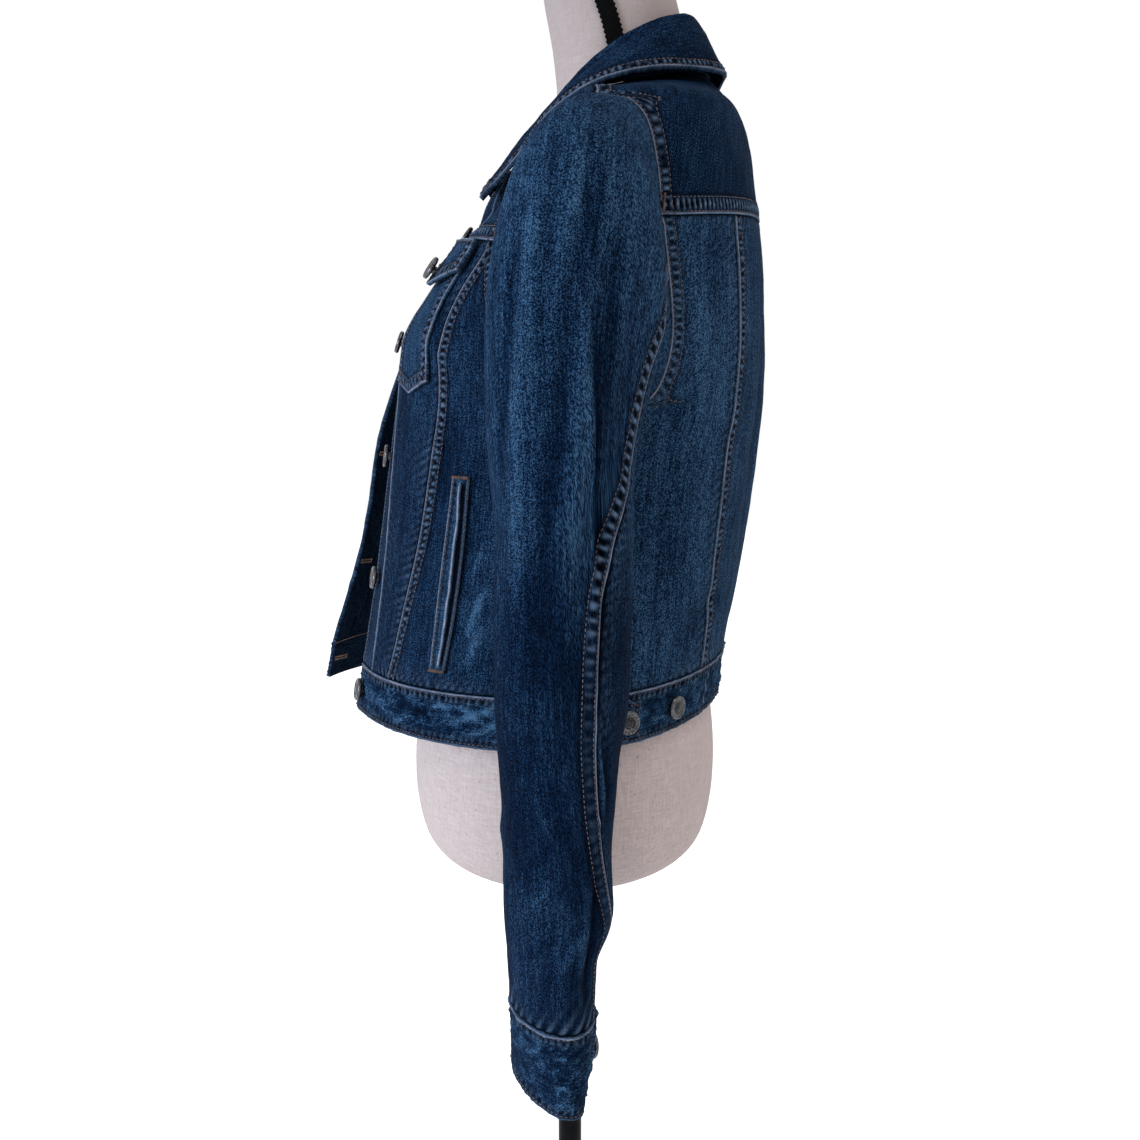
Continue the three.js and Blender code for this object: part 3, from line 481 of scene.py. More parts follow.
def collar_point(u, v):
    u, v = np.broadcast_arrays(u, v)
    side = np.where(u < 0.5, 1.0, -1.0)
    way = np.abs(1 - 2 * u)

    def column(name):
        return np.where(side > 0, getattr(COLLAR_LEFT, name)(way), getattr(COLLAR_RIGHT, name)(way))

    start = np.where(side > 0, edge_angle(1, COLLAR_BASE), edge_angle(-1, COLLAR_BASE))
    base_angle = mix(180, start, way)
    base = body_point(side, base_angle, COLLAR_BASE)
    out = body_normal(side, base_angle, 0 * u + COLLAR_BASE)
    base = base + out * (COLLAR_WALL / 2 + 2.5 * SEAM_GAP) * (1 - 0.88 * out[..., 2:] ** 2)
    fold = np.stack([side * column("foldX"), column("foldY"), column("foldZ")], -1)
    edge = np.stack([side * column("edgeX"), column("edgeY"), column("edgeZ")], -1)
    size = np.minimum(1, np.linalg.norm(fold - base, axis=-1) / 24)[..., None]
    up = np.array([0, 0, 1.0])
    away = unit((edge - fold) * (1, 1, 0))
    before = fold - away * 3.5 * size - up * 6 * size
    after = fold + away * 4.5 * size - up * 4 * size
    bulge = (edge + fold) / 2 + up * 2.5
    return through_points([base, (base + before) / 2, before, fold, after, bulge, edge], v)


# Surfaces made of a place on the body


def on_body(place, lift=None):
    """surface(u, v) on the body's face, moved out by lift(u, v)."""

    def surface(u, v):
        p = body_point(*place(u, v))
        if lift is not None:
            p = p + body_normal(*place(u, v)) * lift(u, v)[..., None]
        return p

    def normal(u, v):
        return body_normal(*place(u, v))

    return surface, normal


def free_surface(point, turned=False):
    """surface(u, v) with its normal taken from neighbouring points."""
    step = 0.002

    def normal(u, v):
        du = point(np.minimum(1, u + step), v) - point(np.maximum(0, u - step), v)
        dv = point(u, np.minimum(1, v + step)) - point(u, np.maximum(0, v - step))
        n = unit(np.cross(du, dv))
        return -n if turned else n

    return point, normal


# Folds and creases on the body and the sleeves. Each row has its sides, its width and
# height (+ out, - in), how much darker (+, painted shade in the hollows) or lighter (-, worn
# fade together with painted light on the ridges) the cloth gets, and a line of (angle, level) or
# (angle, row) places that it follows.

FOLD_DEPTH = 1.35
FOLD_SHADING = 1.4
LEFT, RIGHT, BOTH = (1,), (-1,), (1, -1)
BODY_FOLDS = [
    (LEFT, 2.4, 1.6, -0.4, (105.5, 7.93), (103.5, 7.5), (102, 7.1)),
    (LEFT, 2.2, 1.1, -0.25, (106, 7.9), (110, 7.7)),
    (RIGHT, 2.6, 1.4, -0.35, (106, 7.9), (109, 7.5), (110, 6.9)),
    (BOTH, 13, 1.8, -0.06, (112, 7.6), (118, 6.2), (121, 4.6)),
    (BOTH, 11, -1.6, 0.06, (104, 6.6), (111, 4.8), (113, 2.6)),
    (LEFT, 14, 1.5, -0.05, (134, 7.4), (131, 5.4), (133, 3.0)),
    (RIGHT, 12, 1.7, -0.05, (131, 7.2), (135, 5.6), (130, 3.4)),
    (LEFT, 12, -1.6, 0.07, (152, 7.5), (158, 5.2), (157, 2.6)),
    (RIGHT, 13, -1.5, 0.07, (155, 7.2), (149, 5.0), (153, 2.2)),
    (LEFT, 12, 1.6, -0.06, (172, 6.6), (168, 4.2), (171, 1.8)),
    (RIGHT, 11, 1.2, -0.05, (167, 5.9), (173, 3.8), (170, 2.1)),
    (LEFT, 8, -1.2, 0.08, (120, 1.5), (136, 2.1), (150, 1.9)),
    (RIGHT, 8, -1.3, 0.08, (112, 1.7), (130, 2.2), (147, 1.8)),
    (LEFT, 10, 1.2, -0.05, (160, 9.1), (150, 9.7), (138, 9.8)),
    (RIGHT, 10, 1.2, -0.05, (166, 9.4), (152, 9.2), (140, 9.9)),
    (LEFT, 10, 1.8, -0.08, (84, 4.6), (76, 3.6), (72, 2.2)),
    (RIGHT, 10, 1.8, -0.08, (86, 4.7), (78, 3.3), (74, 1.9)),
    (LEFT, 9, -1.6, 0.08, (62, 4.9), (57, 4.0), (55, 2.9)),
    (RIGHT, 9, -1.7, 0.08, (64, 5.0), (58, 4.1), (53, 3.1)),
    (LEFT, 3, 1.0, -0.35, (71, 2.35), (68.5, 1.8)),
    (LEFT, 3, 0.9, -0.3, (72, 1.95), (69, 1.45)),
    (LEFT, 2.6, 0.8, -0.25, (70, 2.9), (67.5, 2.5)),
    (RIGHT, 3, 1.0, -0.35, (72, 2.5), (69, 1.9)),
    (RIGHT, 3, 0.9, -0.3, (70, 1.9), (67, 1.5)),
    (BOTH, 8, 1.2, -0.05, (40, 6.6), (52, 5.9), (66, 5.5)),
    (RIGHT, 7, 2.4, -0.12, (14, 2.9), (22, 2.2), (27, 1.3)),
    (RIGHT, 4, 1.6, -0.2, (13, 1.9), (19, 1.5), (22, 1.1)),
    (RIGHT, 8, -2.0, 0.1, (16, 3.6), (25, 3.1), (33, 2.9)),
]
BAND_FOLDS = [
    (LEFT, 3.2, 1.5, -0.3, (80, 0.93), (73, 0.66), (64, 0.36)),
    (LEFT, 3.0, 1.2, -0.25, (84, 0.62), (76, 0.42), (70, 0.2)),
    (LEFT, 2.4, 1.1, -0.3, (61, 0.72), (66, 0.77), (72, 0.74)),
    (LEFT, 3.4, 1.3, -0.22, (32, 0.6), (42, 0.45), (52, 0.26)),
    (LEFT, 3.0, -1.1, 0.15, (46, 0.83), (54, 0.6), (60, 0.5)),
    (LEFT, 3.0, 1.0, -0.2, (24, 0.8), (30, 0.56), (34, 0.3)),
    (LEFT, 3.2, 1.2, -0.22, (112, 0.25), (119, 0.5), (126, 0.8)),
    (LEFT, 2.6, 1.0, -0.2, (130, 0.2), (134, 0.45), (137, 0.75)),
    (LEFT, 3.4, 1.2, -0.2, (147, 0.8), (154, 0.5), (163, 0.3)),
    (RIGHT, 3.2, 1.4, -0.28, (76, 0.85), (68, 0.55), (60, 0.4)),
    (RIGHT, 3.2, 1.2, -0.22, (52, 0.75), (45, 0.5), (36, 0.35)),
    (RIGHT, 3.4, 1.6, -0.3, (24, 0.9), (22, 0.5), (17, 0.3)),
    (RIGHT, 3.2, -1.2, 0.15, (15, 0.75), (19, 0.45), (27, 0.2)),
    (RIGHT, 3.2, 1.2, -0.22, (108, 0.3), (120, 0.6), (128, 0.8)),
    (RIGHT, 3.4, 1.2, -0.22, (140, 0.8), (150, 0.45), (162, 0.25)),
    (RIGHT, 3.0, 1.0, -0.2, (166, 0.75), (174, 0.5), (179, 0.45)),
]
SLEEVE_FOLDS = [
    (LEFT, 3.0, 1.6, -0.12, (-17, 5.6), (-24, 7.5), (-27, 9.1), (-29, 9.8), (-28, 11)),
    (LEFT, 3.2, -2.4, 0.35, (-23, 5.6), (-30, 7.5), (-34, 9.1), (-36, 9.8), (-35, 11)),
    (LEFT, 6.5, -1.8, 0.17, (-8, 5.1), (-6, 6.3), (4, 7.6), (12, 9.0), (16, 10.0), (19, 11.2)),
    (LEFT, 6, 1.6, -0.12, (-16, 5.4), (-14, 6.8), (-10, 8.0), (-8, 9.2), (-6, 10.6)),
    (LEFT, 7.5, 1.6, -0.12, (23, 3.4), (21, 5.6), (36, 7.0), (39, 8.2), (38, 10)),
    (LEFT, 4.5, -1.5, 0.13, (32, 3.6), (40, 5.6), (46, 6.3), (58, 7.3)),
    (LEFT, 6, -1.8, 0.2, (-35, 4.4), (-38, 6.2), (-42, 7.6)),
    (LEFT, 2.6, -1.1, 0.2, (-10, 2.6), (-12, 4.0), (-11, 5.2)),
    (LEFT, 2.4, -0.9, 0.2, (-18, 3.0), (-19, 3.9), (-20, 4.9)),
    (LEFT, 3.5, 1.0, -0.1, (-3, 2.4), (-2, 4.2), (2, 5.6)),
    (LEFT, 4.5, -1.0, 0.08, (10, 2.8), (12, 4.6), (16, 6.4)),
    (LEFT, 2.4, 1.3, -0.3, (-31, 11.6), (-38, 12.3), (-44, 12.8), (-43, 13.2), (-28, 13.5)),
    (LEFT, 3.0, -1.4, 0.2, (-37, 11.6), (-44, 12.3), (-50, 12.8), (-49, 13.3)),
    (LEFT, 3.0, -1.8, 0.3, (-32, 14.2), (-24, 15.0), (-30, 15.8), (-34, 16.6)),
    (LEFT, 3.0, 1.2, -0.15, (-24, 14.3), (-18, 15.0), (-23, 15.9)),
    (LEFT, 3, 0.9, -0.1, (27, 13.0), (15, 13.5), (8, 13.8)),
    (LEFT, 3.2, 1.0, -0.1, (60, 15.1), (36, 14.7), (16, 14.3)),
    (LEFT, 3.4, -0.9, 0.08, (50, 14.2), (22, 13.9), (2, 13.4)),
    (LEFT, 3.4, -0.9, 0.08, (64, 15.9), (38, 15.5), (10, 15.2)),
    (LEFT, 3, 0.9, -0.12, (5, 15.8), (-8, 15.4), (-16, 15.1)),
    (RIGHT, 3.6, 1.7, -0.12, (-14, 5.2), (-21, 7.2), (-25, 8.7), (-24, 10.3)),
    (RIGHT, 3.6, -2.4, 0.3, (-21, 5.3), (-28, 7.2), (-32, 8.8), (-31, 10.4)),
    (RIGHT, 7, -1.8, 0.16, (-4, 4.7), (-1, 6.6), (8, 8.1), (15, 10.4)),
    (RIGHT, 7.5, 1.7, -0.12, (28, 3.8), (25, 5.9), (38, 7.5), (36, 9.5)),
    (RIGHT, 5, -1.6, 0.13, (36, 4.2), (45, 6.0), (57, 7.6)),
    (RIGHT, 6, -1.8, 0.2, (-38, 4.8), (-41, 6.6), (-44, 8.1)),
    (RIGHT, 3, -1.2, 0.18, (-12, 2.8), (-10, 4.3), (-13, 5.5)),
    (RIGHT, 2.8, 1.4, -0.3, (-30, 11.9), (-41, 12.6), (-45, 13.1), (-30, 13.7)),
    (RIGHT, 3.2, -1.8, 0.28, (-30, 14.5), (-22, 15.3), (-29, 16.4)),
    (RIGHT, 3.2, 1.0, -0.1, (56, 14.8), (34, 14.4), (12, 14.1)),
    (RIGHT, 3.4, -0.9, 0.08, (40, 13.3), (20, 13.7), (2, 14.2)),
    (BOTH, 8, 2.0, -0.08, (118, 5.2), (124, 7.4), (120, 9.8)),
    (BOTH, 8, -2.0, 0.1, (150, 5.0), (158, 7.6), (154, 10.6)),
    (BOTH, 8, 2.0, -0.08, (210, 5.4), (205, 8.2), (212, 11.4)),
    (BOTH, 5, -1.4, 0.1, (96, 12.2), (120, 12.7), (150, 12.6)),
    (BOTH, 5, 1.3, -0.1, (90, 13.4), (118, 13.9), (152, 13.6)),
    (BOTH, 5, -1.4, 0.1, (190, 12.9), (226, 12.5), (258, 12.9)),
]


def folds_at(points, folds, place, sides):
    """Height and tone that the folds give at points, the tone being painted shade in hollows and
    painted light on ridges; place() puts a fold's line in the frame.
    """
    shape = points.shape[:-1]
    height, tone = np.zeros(shape), np.zeros(shape)
    for fold_sides, fold_width, fold_height, fold_shading, *places in folds:
        a, b = np.array(places, float).T
        for side in fold_sides:
            if side not in sides:
                continue
            line = place(side, a, b)
            whole = arc(line, 0)
            near, share = np.full(shape, 1e9), np.zeros(shape)
            for k in range(len(line) - 1):
                run = line[k + 1] - line[k]
                t = clamp01(((points - line[k]) @ run) / (run @ run))
                d = np.linalg.norm(points - line[k] - t[..., None] * run, axis=-1)
                share = np.where(d < near, mix(whole[k], whole[k + 1], t) / whole[-1], share)
                near = np.minimum(near, d)
            strength = hump(near, fold_width) * np.sin(np.pi * mix(0.06, 0.94, share)) ** 0.6
            height += FOLD_DEPTH * fold_height * strength
            tone += FOLD_SHADING * fold_shading * strength
    return height, tone


# How a piece ends along one side. rows are the distances of its rows of stitches,
# rope how strongly it puckers, span the share of the side that it holds for (outside
# it the piece goes under its neighbour), pitch the length of a pucker, light how
# worn its very edge is, and calm the share beyond which the rope dies down.

Edge = namedtuple(
    "Edge", "kind rows rope span pitch light calm", defaults=((), 0.5, (0, 1), 5.4, 0.9, 2)
)
PLAIN = Edge("plain")
UNDER = Edge("under", (), 0.45)


def ripple(s, pitch, seed):
    """Uneven waves along a seam, from -1 to 1."""
    phase = s / pitch + 0.4 * noise_along(s, 21, seed)
    return np.sin(2 * np.pi * phase) * (0.8 + 0.2 * noise_along(s, 9, seed + 1))


def edge_relief(edge, d, s, share, seed):
    """Height, wear and painted shade (dark) that one side gives at distance d from it."""
    if edge.kind == "plain":
        return 0 * d, 0 * d, 0 * d
    inside = smooth(edge.span[0] - 0.01, edge.span[0], share)
    inside = inside * (1 - smooth(edge.span[1], edge.span[1] + 0.01, share))
    waves = ripple(s + 0.12 * d, edge.pitch, seed)
    pulls = ripple(s + 0.6 * d, 1.3 * edge.pitch, seed + 4)
    reach = 5 * (1.2 + noise_along(s, 31, seed + 6))
    pucker = edge.rope * np.exp(-d / reach) * pulls
    under_height = 0.55 * pucker - 0.45 * hump(d, 1.5)
    under_wear = 0.4 * clamp01(pucker * 1.6) * smooth(0.8, 2.5, d)
    # Painted shade: a dark line in the gap under the neighbour's edge and in the hollows between
    # puckers.
    under_shade = 0.97 * hump(d, 1.7) + 0.6 * clamp01(-pucker * 1.8) * smooth(0.5, 2, d)
    if edge.kind == "under":
        return under_height, under_wear, under_shade
    rows = edge.rows or (2.0,)
    width = rows[-1] + 1.6
    band = 1 - smooth(width - 1, width + 1, d)
    ridge = hump(d - 0.8, 0.75)
    height = 0.5 * band + 0.4 * ridge - 0.5 * hump(d, 0.35)
    wear = edge.light * ridge * (0.85 + 0.15 * noise_along(s, 5, seed + 2))
    # Painted shade just beyond the lapped band, and below also in the stitch grooves and between
    # the puckers.
    dark = 0.6 * hump(d - width, 1.1)
    for row in rows:
        groove = hump(d - row, 0.7)
        height = height - 0.4 * groove
        dark = np.maximum(dark, groove * (0.6 - 0.25 * waves))
        wear = wear * (1 - 0.5 * groove)
    if len(rows) > 1:
        middle, half = (rows[0] + rows[-1]) / 2, (rows[-1] - rows[0]) / 2
        spread = bell((d - middle) / half) ** 0.7
    else:
        spread = 0.8 * hump(d - rows[0] - 2.2, 1.7)
    spread = spread * edge.rope * mix(1, 0.2, smooth(edge.calm, edge.calm + 0.16, share))
    lump = smooth(-0.1, 0.6, waves)
    height = height + spread * (1.1 * lump - 0.45)
    wear = np.maximum(wear, clamp01(0.62 * spread * lump))
    dark = np.maximum(dark, 0.97 * clamp01(1.25 * spread * (1 - lump)))
    return (
        mix(under_height, height, inside),
        mix(under_wear, wear, inside),
        mix(under_shade, dark, inside),
    )


def edge_steps(edge):
    """Distances from a side at which a piece has points."""
    if edge.kind == "plain":
        return [0, 1.2]
    if edge.kind == "under":
        return [0, 0.6, 1.3, 2.2, 3.6, 5.4, 7.4, 10]
    steps = [0, 0.35, 0.8, 1.3, 1.9, 2.5, 3.2, 4.0, 4.9]
    while steps[-1] < (edge.rows or (2,))[-1] + 3.5:
        steps.append(steps[-1] + 1.05)
    return steps


def shares(length, start, end, step):
    """Places from 0 to 1 along a length, closer together at both ends."""
    low = np.array(edge_steps(start))
    high = length - np.array(edge_steps(end))[::-1]
    if low[-1] >= high[0]:
        low, high = low[low < length / 2], high[high > length / 2]
    count = max(1, int(math.ceil((high[0] - low[-1]) / step)))
    middle = np.linspace(low[-1], high[0], count + 1)[1:-1]
    return np.concatenate([low, middle, high]) / length


def arc(points, axis):
    step = np.linalg.norm(np.diff(points, axis=axis), axis=-1)
    start = np.zeros_like(np.take(step, [0], axis=axis))
    return np.cumsum(np.concatenate([start, step], axis=axis), axis=axis)


# Meshes


def make_mesh(name, verts, faces, material, sharp=40):
    mesh = bpy.data.meshes.new(name)
    mesh.from_pydata((np.asarray(verts) * MM).tolist(), [], [list(f) for f in faces])
    mesh.polygons.foreach_set("use_smooth", [True] * len(mesh.polygons))
    mesh.update()
    if sharp:
        mesh.set_sharp_from_angle(angle=math.radians(sharp))
    mesh.materials.append(material)
    obj = new_object(name, mesh)
    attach(obj, "root")
    return obj


def set_attribute(obj, name, kind, values):
    attribute = obj.data.attributes.new(name, kind, "POINT")
    key = "vector" if kind == "FLOAT_VECTOR" else "value"
    attribute.data.foreach_set(key, np.asarray(values, np.float32).ravel())


def ring_faces(rings, count):
    """Faces of a closed body made of rings of count points each."""
    faces = []
    for j in range(rings - 1):
        for k in range(count):
            a, b = j * count + k, j * count + (k + 1) % count
            faces.append((a, b, b + count, a + count))
    faces.append(tuple(reversed(range(count))))
    faces.append(tuple((rings - 1) * count + k for k in range(count)))
    return faces


INNER_STEP = 3


def every_few(count):
    kept = list(range(0, count - 1, INNER_STEP))
    if len(kept) > 1 and count - 1 - kept[-1] < 2:
        kept.pop()
    return np.array(kept + [count - 1])


def rim(fine, coarse, at):
    """Triangles between a fine side and a coarse one, whose points are at places at."""
    faces = []
    for j in range(len(coarse) - 1):
        half = (at[j] + at[j + 1]) // 2
        faces += [(fine[k], coarse[j], fine[k + 1]) for k in range(at[j], half)]
        faces.append((fine[half], coarse[j], coarse[j + 1]))
        faces += [(fine[k], coarse[j + 1], fine[k + 1]) for k in range(half, at[j + 1])]
    return faces


def wall_mesh(outer, inner):
    """Points and faces of a closed wall: a fine outer grid and a coarse inner one."""
    rows, across = outer.shape[:2]
    js, is_ = every_few(rows), every_few(across)
    top = np.arange(rows * across).reshape(rows, across)
    low = rows * across + np.arange(len(js) * len(is_)).reshape(len(js), len(is_))
    verts = np.concatenate([outer.reshape(-1, 3), inner[np.ix_(js, is_)].reshape(-1, 3)])
    quads = [top[:-1, :-1], top[:-1, 1:], top[1:, 1:], top[1:, :-1]]
    faces = np.stack(quads, -1).reshape(-1, 4).tolist()
    quads = [low[:-1, :-1], low[1:, :-1], low[1:, 1:], low[:-1, 1:]]
    faces += np.stack(quads, -1).reshape(-1, 4).tolist()
    faces += rim(top[0], low[0], is_)
    faces += rim(top[-1][::-1], low[-1][::-1], across - 1 - is_[::-1])
    faces += rim(top[::-1, 0], low[::-1, 0], rows - 1 - js[::-1])
    faces += rim(top[:, -1], low[:, -1], js)
    return verts, faces, (js, is_)


def facing_out(verts, faces):
    tri = np.array([f[:3] for f in faces])
    rest = np.array([(f[0], f[2], f[3]) for f in faces if len(f) == 4])
    tri = np.concatenate([tri, rest]) if len(rest) else tri
    a, b, c = (verts[tri[:, k]] for k in range(3))
    volume = np.einsum("ij,ij->i", a, np.cross(b, c)).sum()
    return [f[::-1] for f in faces] if volume < 0 else faces


def wrinkle_field(along_u, along_v, seed):
    """Thin slanting wrinkles of crushed cloth, mostly from -0.4 to 1."""
    total = 0
    for k, (slant, length) in enumerate(((0.75, 16), (-0.5, 13), (0.15, 11))):
        across = along_v - slant * along_u
        along = along_u + slant * along_v
        q = np.stack([across / 5.2, along / length, 0 * across + 3.5 * k], -1)
        total = total + clamp01(1 - 3.4 * np.abs(noise(q, 1, seed + 11 * k))) ** 2.2
    return 0.9 * total - 0.35


# Up to this distance from a side, its slant is followed.
SLANT_REACH = 40


def from_side(points, k):
    """Square distance of each point from a side and its place along that side."""
    grid = points if k < 2 else points.transpose(1, 0, 2)
    line = grid[:, 0] if k % 2 == 0 else grid[:, -1]
    tangent = unit(np.gradient(line, axis=0))
    away = grid - line[:, None]
    along = np.einsum("jic,jc->ji", away, tangent)
    distance = np.sqrt(np.maximum((away**2).sum(-1) - along**2, 0))
    place = arc(line, 0)[:, None] + along
    return (distance, place) if k < 2 else (distance.T, place.T)


def relief(
    grid, edges, distances, places, seed, *, folds=(), sides=BOTH, rough=0.35, wrinkles=0,
    extra=None, tone=0, shades=None,
):
    """Small height, height of the folds, wear, painted shade (dark) and tone at a piece's points.
    """
    height, wear, dark, big, shade = (np.zeros(grid.u.shape) for _ in range(5))
    layers = []
    for k, edge in enumerate(edges):
        share = grid.v if k < 2 else grid.u
        layers.append(edge_relief(edge, distances[k], places[k], share, seed + 7 * k))
    if extra:
        layers.append(extra(grid.u, grid.v, grid.along_u, grid.along_v))
    for h, w, d in layers:
        height, wear, dark = height + h, np.maximum(wear, w), np.maximum(dark, d)
    for rows, line_place in folds:
        h, t = folds_at(grid.points, rows, line_place, sides)
        big, shade = big + h, shade + t
    small = rough * noise(grid.points, (16, 16, 34), seed)
    small = small + 0.5 * rough * noise(grid.points, 7, seed + 3)
    if wrinkles:
        ridges = wrinkle_field(grid.along_u, grid.along_v, seed)
        small = small + wrinkles * ridges
        # Painted light on the wrinkles' ridges, together with worn fade.
        shade = shade - 0.3 * wrinkles * ridges
    # Raised bumps get lighter, worn fade together with painted light; tone adds each piece's own
    # darkening.
    shade = shade + tone - 0.12 * small
    if shades:
        shade = shade + shades(grid.points)
    return height + small, big, wear, dark, shade


def cloth(
    node, surface, normal, thickness, edges, held, rests_on, *, steps=(2.6, 2.0), across=None,
    crosswise=False, **look,
):
    """A sewn piece over the solid of that name, with its seams, puckers and folds.

    edges are its sides at u = 0, u = 1, v = 0 and v = 1, and steps its grid's largest steps.
    """
    line = np.linspace(0, 1, 41)
    width = arc(surface(line, 0 * line + 0.5), 0)[-1]
    length = arc(surface(0 * line + 0.5, line), 0)[-1]
    us = shares(width, edges[0], edges[1], steps[0])
    vs = shares(length, edges[2], edges[3], steps[1])
    u, v = np.meshgrid(us, vs)
    points, normals = surface(u, v), normal(u, v)
    along_u, along_v = arc(points, 1), arc(points, 0)
    grid = SimpleNamespace(u=u, v=v, points=points, along_u=along_u, along_v=along_v)
    distances = [along_u, along_u[:, -1:] - along_u, along_v, along_v[-1:, :] - along_v]
    places = []
    for k in range(4):
        near, place = from_side(points, k)
        distances[k] = np.where(distances[k] < SLANT_REACH, near, distances[k])
        places.append(place)
    seed = sum(ord(c) for c in node)
    small, big, wear, dark, shade = relief(grid, edges, distances, places, seed, **look)
    outer = points + normals * (small + big)[..., None]
    inner = points + normals * (big - thickness)[..., None]
    verts, faces, (js, is_) = wall_mesh(outer, inner)
    obj = make_mesh("cloth_" + node, verts, facing_out(verts, faces), DENIM)
    warp = across(u, v) if across else along_u
    grain = (along_v, along_u) if crosswise else (warp, along_v)
    place = np.stack([*grain, 0 * u + seed % 97], -1) * MM
    place = np.concatenate([place.reshape(-1, 3), place[np.ix_(js, is_)].reshape(-1, 3)])
    set_attribute(obj, "cloth", "FLOAT_VECTOR", place)
    # The inner faces get painted shade (dark 0.6).
    for name, values, inside in (("wear", wear, 0), ("dark", dark, 0.6), ("tone", shade, 0)):
        inside = np.full(len(js) * len(is_), float(inside))
        set_attribute(obj, name, "FLOAT", np.concatenate([values.ravel(), inside]))
    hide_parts(node)
    rows = stitched_rows(edges, outer, normals, distances, u, v)
    pieces = [threads("stitches_" + node, rows)] if rows else []
    right, down = points[:-1, 1:] - points[:-1, :-1], points[1:, :-1] - points[:-1, :-1]
    cells = np.linalg.norm(np.cross(right, down), axis=-1)
    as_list(rests_on)
    return SimpleNamespace(outer=outer, normals=normals, u=u, v=v)


# Stitches

STITCH_PITCH = 3.3
STITCH_LENGTH = 2.3
THREAD_RADIUS = 0.36
STITCH_CORNERS = 5
# Share of a stitch's length, thickness there and lift of its middle there
STITCH_PROFILE = [
    (0, 0.35, -0.15), (0.18, 0.9, 0.12), (0.5, 1, 0.22), (0.82, 0.9, 0.12), (1, 0.35, -0.15),
]


def read_at(place, places, rows):
    """A table's rows, read at a place between theirs."""
    return np.array([np.interp(place, places, column) for column in rows.T])


def stitched_rows(edges, outer, normals, distances, u, v):
    """The lines of all rows of stitches, each as points and normals."""
    rows = []
    for k, edge in enumerate(edges):
        if edge.kind in ("plain", "under"):
            continue
        if k < 2:
            grid, out, far, share = outer, normals, distances[k], v[:, 0]
        else:
            grid, out = outer.transpose(1, 0, 2), normals.transpose(1, 0, 2)
            far, share = distances[k].T, u[0]
        for d in edge.rows:
            points, outs = [], []
            for j in range(len(grid)):
                order = np.argsort(far[j])
                places = far[j][order]
                if edge.span[0] <= share[j] <= edge.span[1] and places[-1] >= d * 1.6:
                    points.append(read_at(d, places, grid[j][order]))
                    outs.append(read_at(d, places, out[j][order]))
            if len(points) > 4:
                rows.append((np.array(points), unit(np.array(outs))))
    return rows


def stitches_on(points, outs, length=STITCH_LENGTH, pitch=STITCH_PITCH):
    """Small capsules of thread along a line."""
    s = arc(points, 0)
    corners = 2 * math.pi * np.arange(STITCH_CORNERS) / STITCH_CORNERS
    tube = ring_faces(len(STITCH_PROFILE), STITCH_CORNERS)
    verts, faces = [], []
    for start in np.arange(1.0, s[-1] - length - 0.6, pitch):
        base = len(verts)
        for share, size, lift in STITCH_PROFILE:
            at = start + share * length
            p = read_at(at, s, points)
            n = unit(read_at(at, s, outs))
            side = unit(np.cross(n, read_at(at + 0.3, s, points) - p))
            radius = THREAD_RADIUS * size
            for a in corners:
                up, out = lift + radius * math.sin(a), radius * math.cos(a)
                verts.append(p + n * up + side * out)
        faces += [tuple(base + i for i in face) for face in tube]
    return verts, faces


def threads(name, rows, material=None, **sizes):
    verts, faces = [], []
    for points, outs in rows:
        base = len(verts)
        row_verts, row_faces = stitches_on(points, outs, **sizes)
        verts += row_verts
        faces += [tuple(base + i for i in face) for face in row_faces]
    return make_mesh(name, np.array(verts), faces, material or THREAD, sharp=0)


# Materials


def feed(tree, socket, value):
    """Gives a socket another node's output, a number, a vector or a colour."""
    if isinstance(value, bpy.types.NodeSocket):
        tree.links.new(value, socket)
    elif socket.type == "RGBA":
        socket.default_value = (*value, 1)
    else:
        socket.default_value = value


def new_material(name, **values):
    material = bpy.data.materials.new(name)
    material.use_nodes = True
    shader = material.node_tree.nodes["Principled BSDF"]
    for key, value in values.items():
        feed(material.node_tree, shader.inputs[key.replace("_", " ")], value)
    return material, material.node_tree, shader


def node_of(tree, kind, values=(), **settings):
    """A node with these values in its first usable inputs, or by name from a dict."""
    node = tree.nodes.new("ShaderNode" + kind)
    for key, value in settings.items():
        setattr(node, key, value)
    if isinstance(values, dict):
        pairs = [(node.inputs[key], value) for key, value in values.items()]
    else:
        pairs = zip([s for s in node.inputs if s.enabled], values)
    for socket, value in pairs:
        feed(tree, socket, value)
    return node


def object_place(tree):
    return node_of(tree, "TexCoord").outputs["Object"]


def scaled(tree, vector, scale):
    return node_of(tree, "Mapping", {"Vector": vector, "Scale": scale}).outputs["Vector"]


def noise_node(tree, place, scale, detail, roughness):
    values = {"Scale": 1, "Detail": detail, "Roughness": roughness}
    vector = scaled(tree, place, scale)
    return node_of(tree, "TexNoise", {"Vector": vector, **values}).outputs["Fac"]


def ramp(tree, value, low, high, to_low=0, to_high=1):
    return node_of(tree, "MapRange", (value, low, high, to_low, to_high)).outputs["Result"]


def arithmetic(tree, operation, a, b):
    return node_of(tree, "Math", (a, b), operation=operation).outputs[0]


def mixed(tree, share, a, b):
    node = node_of(tree, "Mix", (share, a, b), data_type="RGBA")
    return [s for s in node.outputs if s.enabled][0]


def attribute(tree, name, socket="Fac"):
    return node_of(tree, "Attribute", attribute_name=name).outputs[socket]


def bumped(tree, shader, height, strength, distance):
    values = {"Strength": strength, "Distance": distance, "Height": height}
    feed(tree, shader.inputs["Normal"], node_of(tree, "Bump", values).outputs["Normal"])


INDIGO_DEEP = (0.0003, 0.0014, 0.0055)
INDIGO = (0.0032, 0.0130, 0.0350)
INDIGO_FADED = (0.036, 0.082, 0.148)
BRUSHED = (0.075, 0.115, 0.180)
WORN_EDGE = (0.215, 0.19, 0.225)
# Near black painted shade for gaps, grooves and hollows.
PAINTED_SEAM_SHADE = (0.0003, 0.0006, 0.0020)


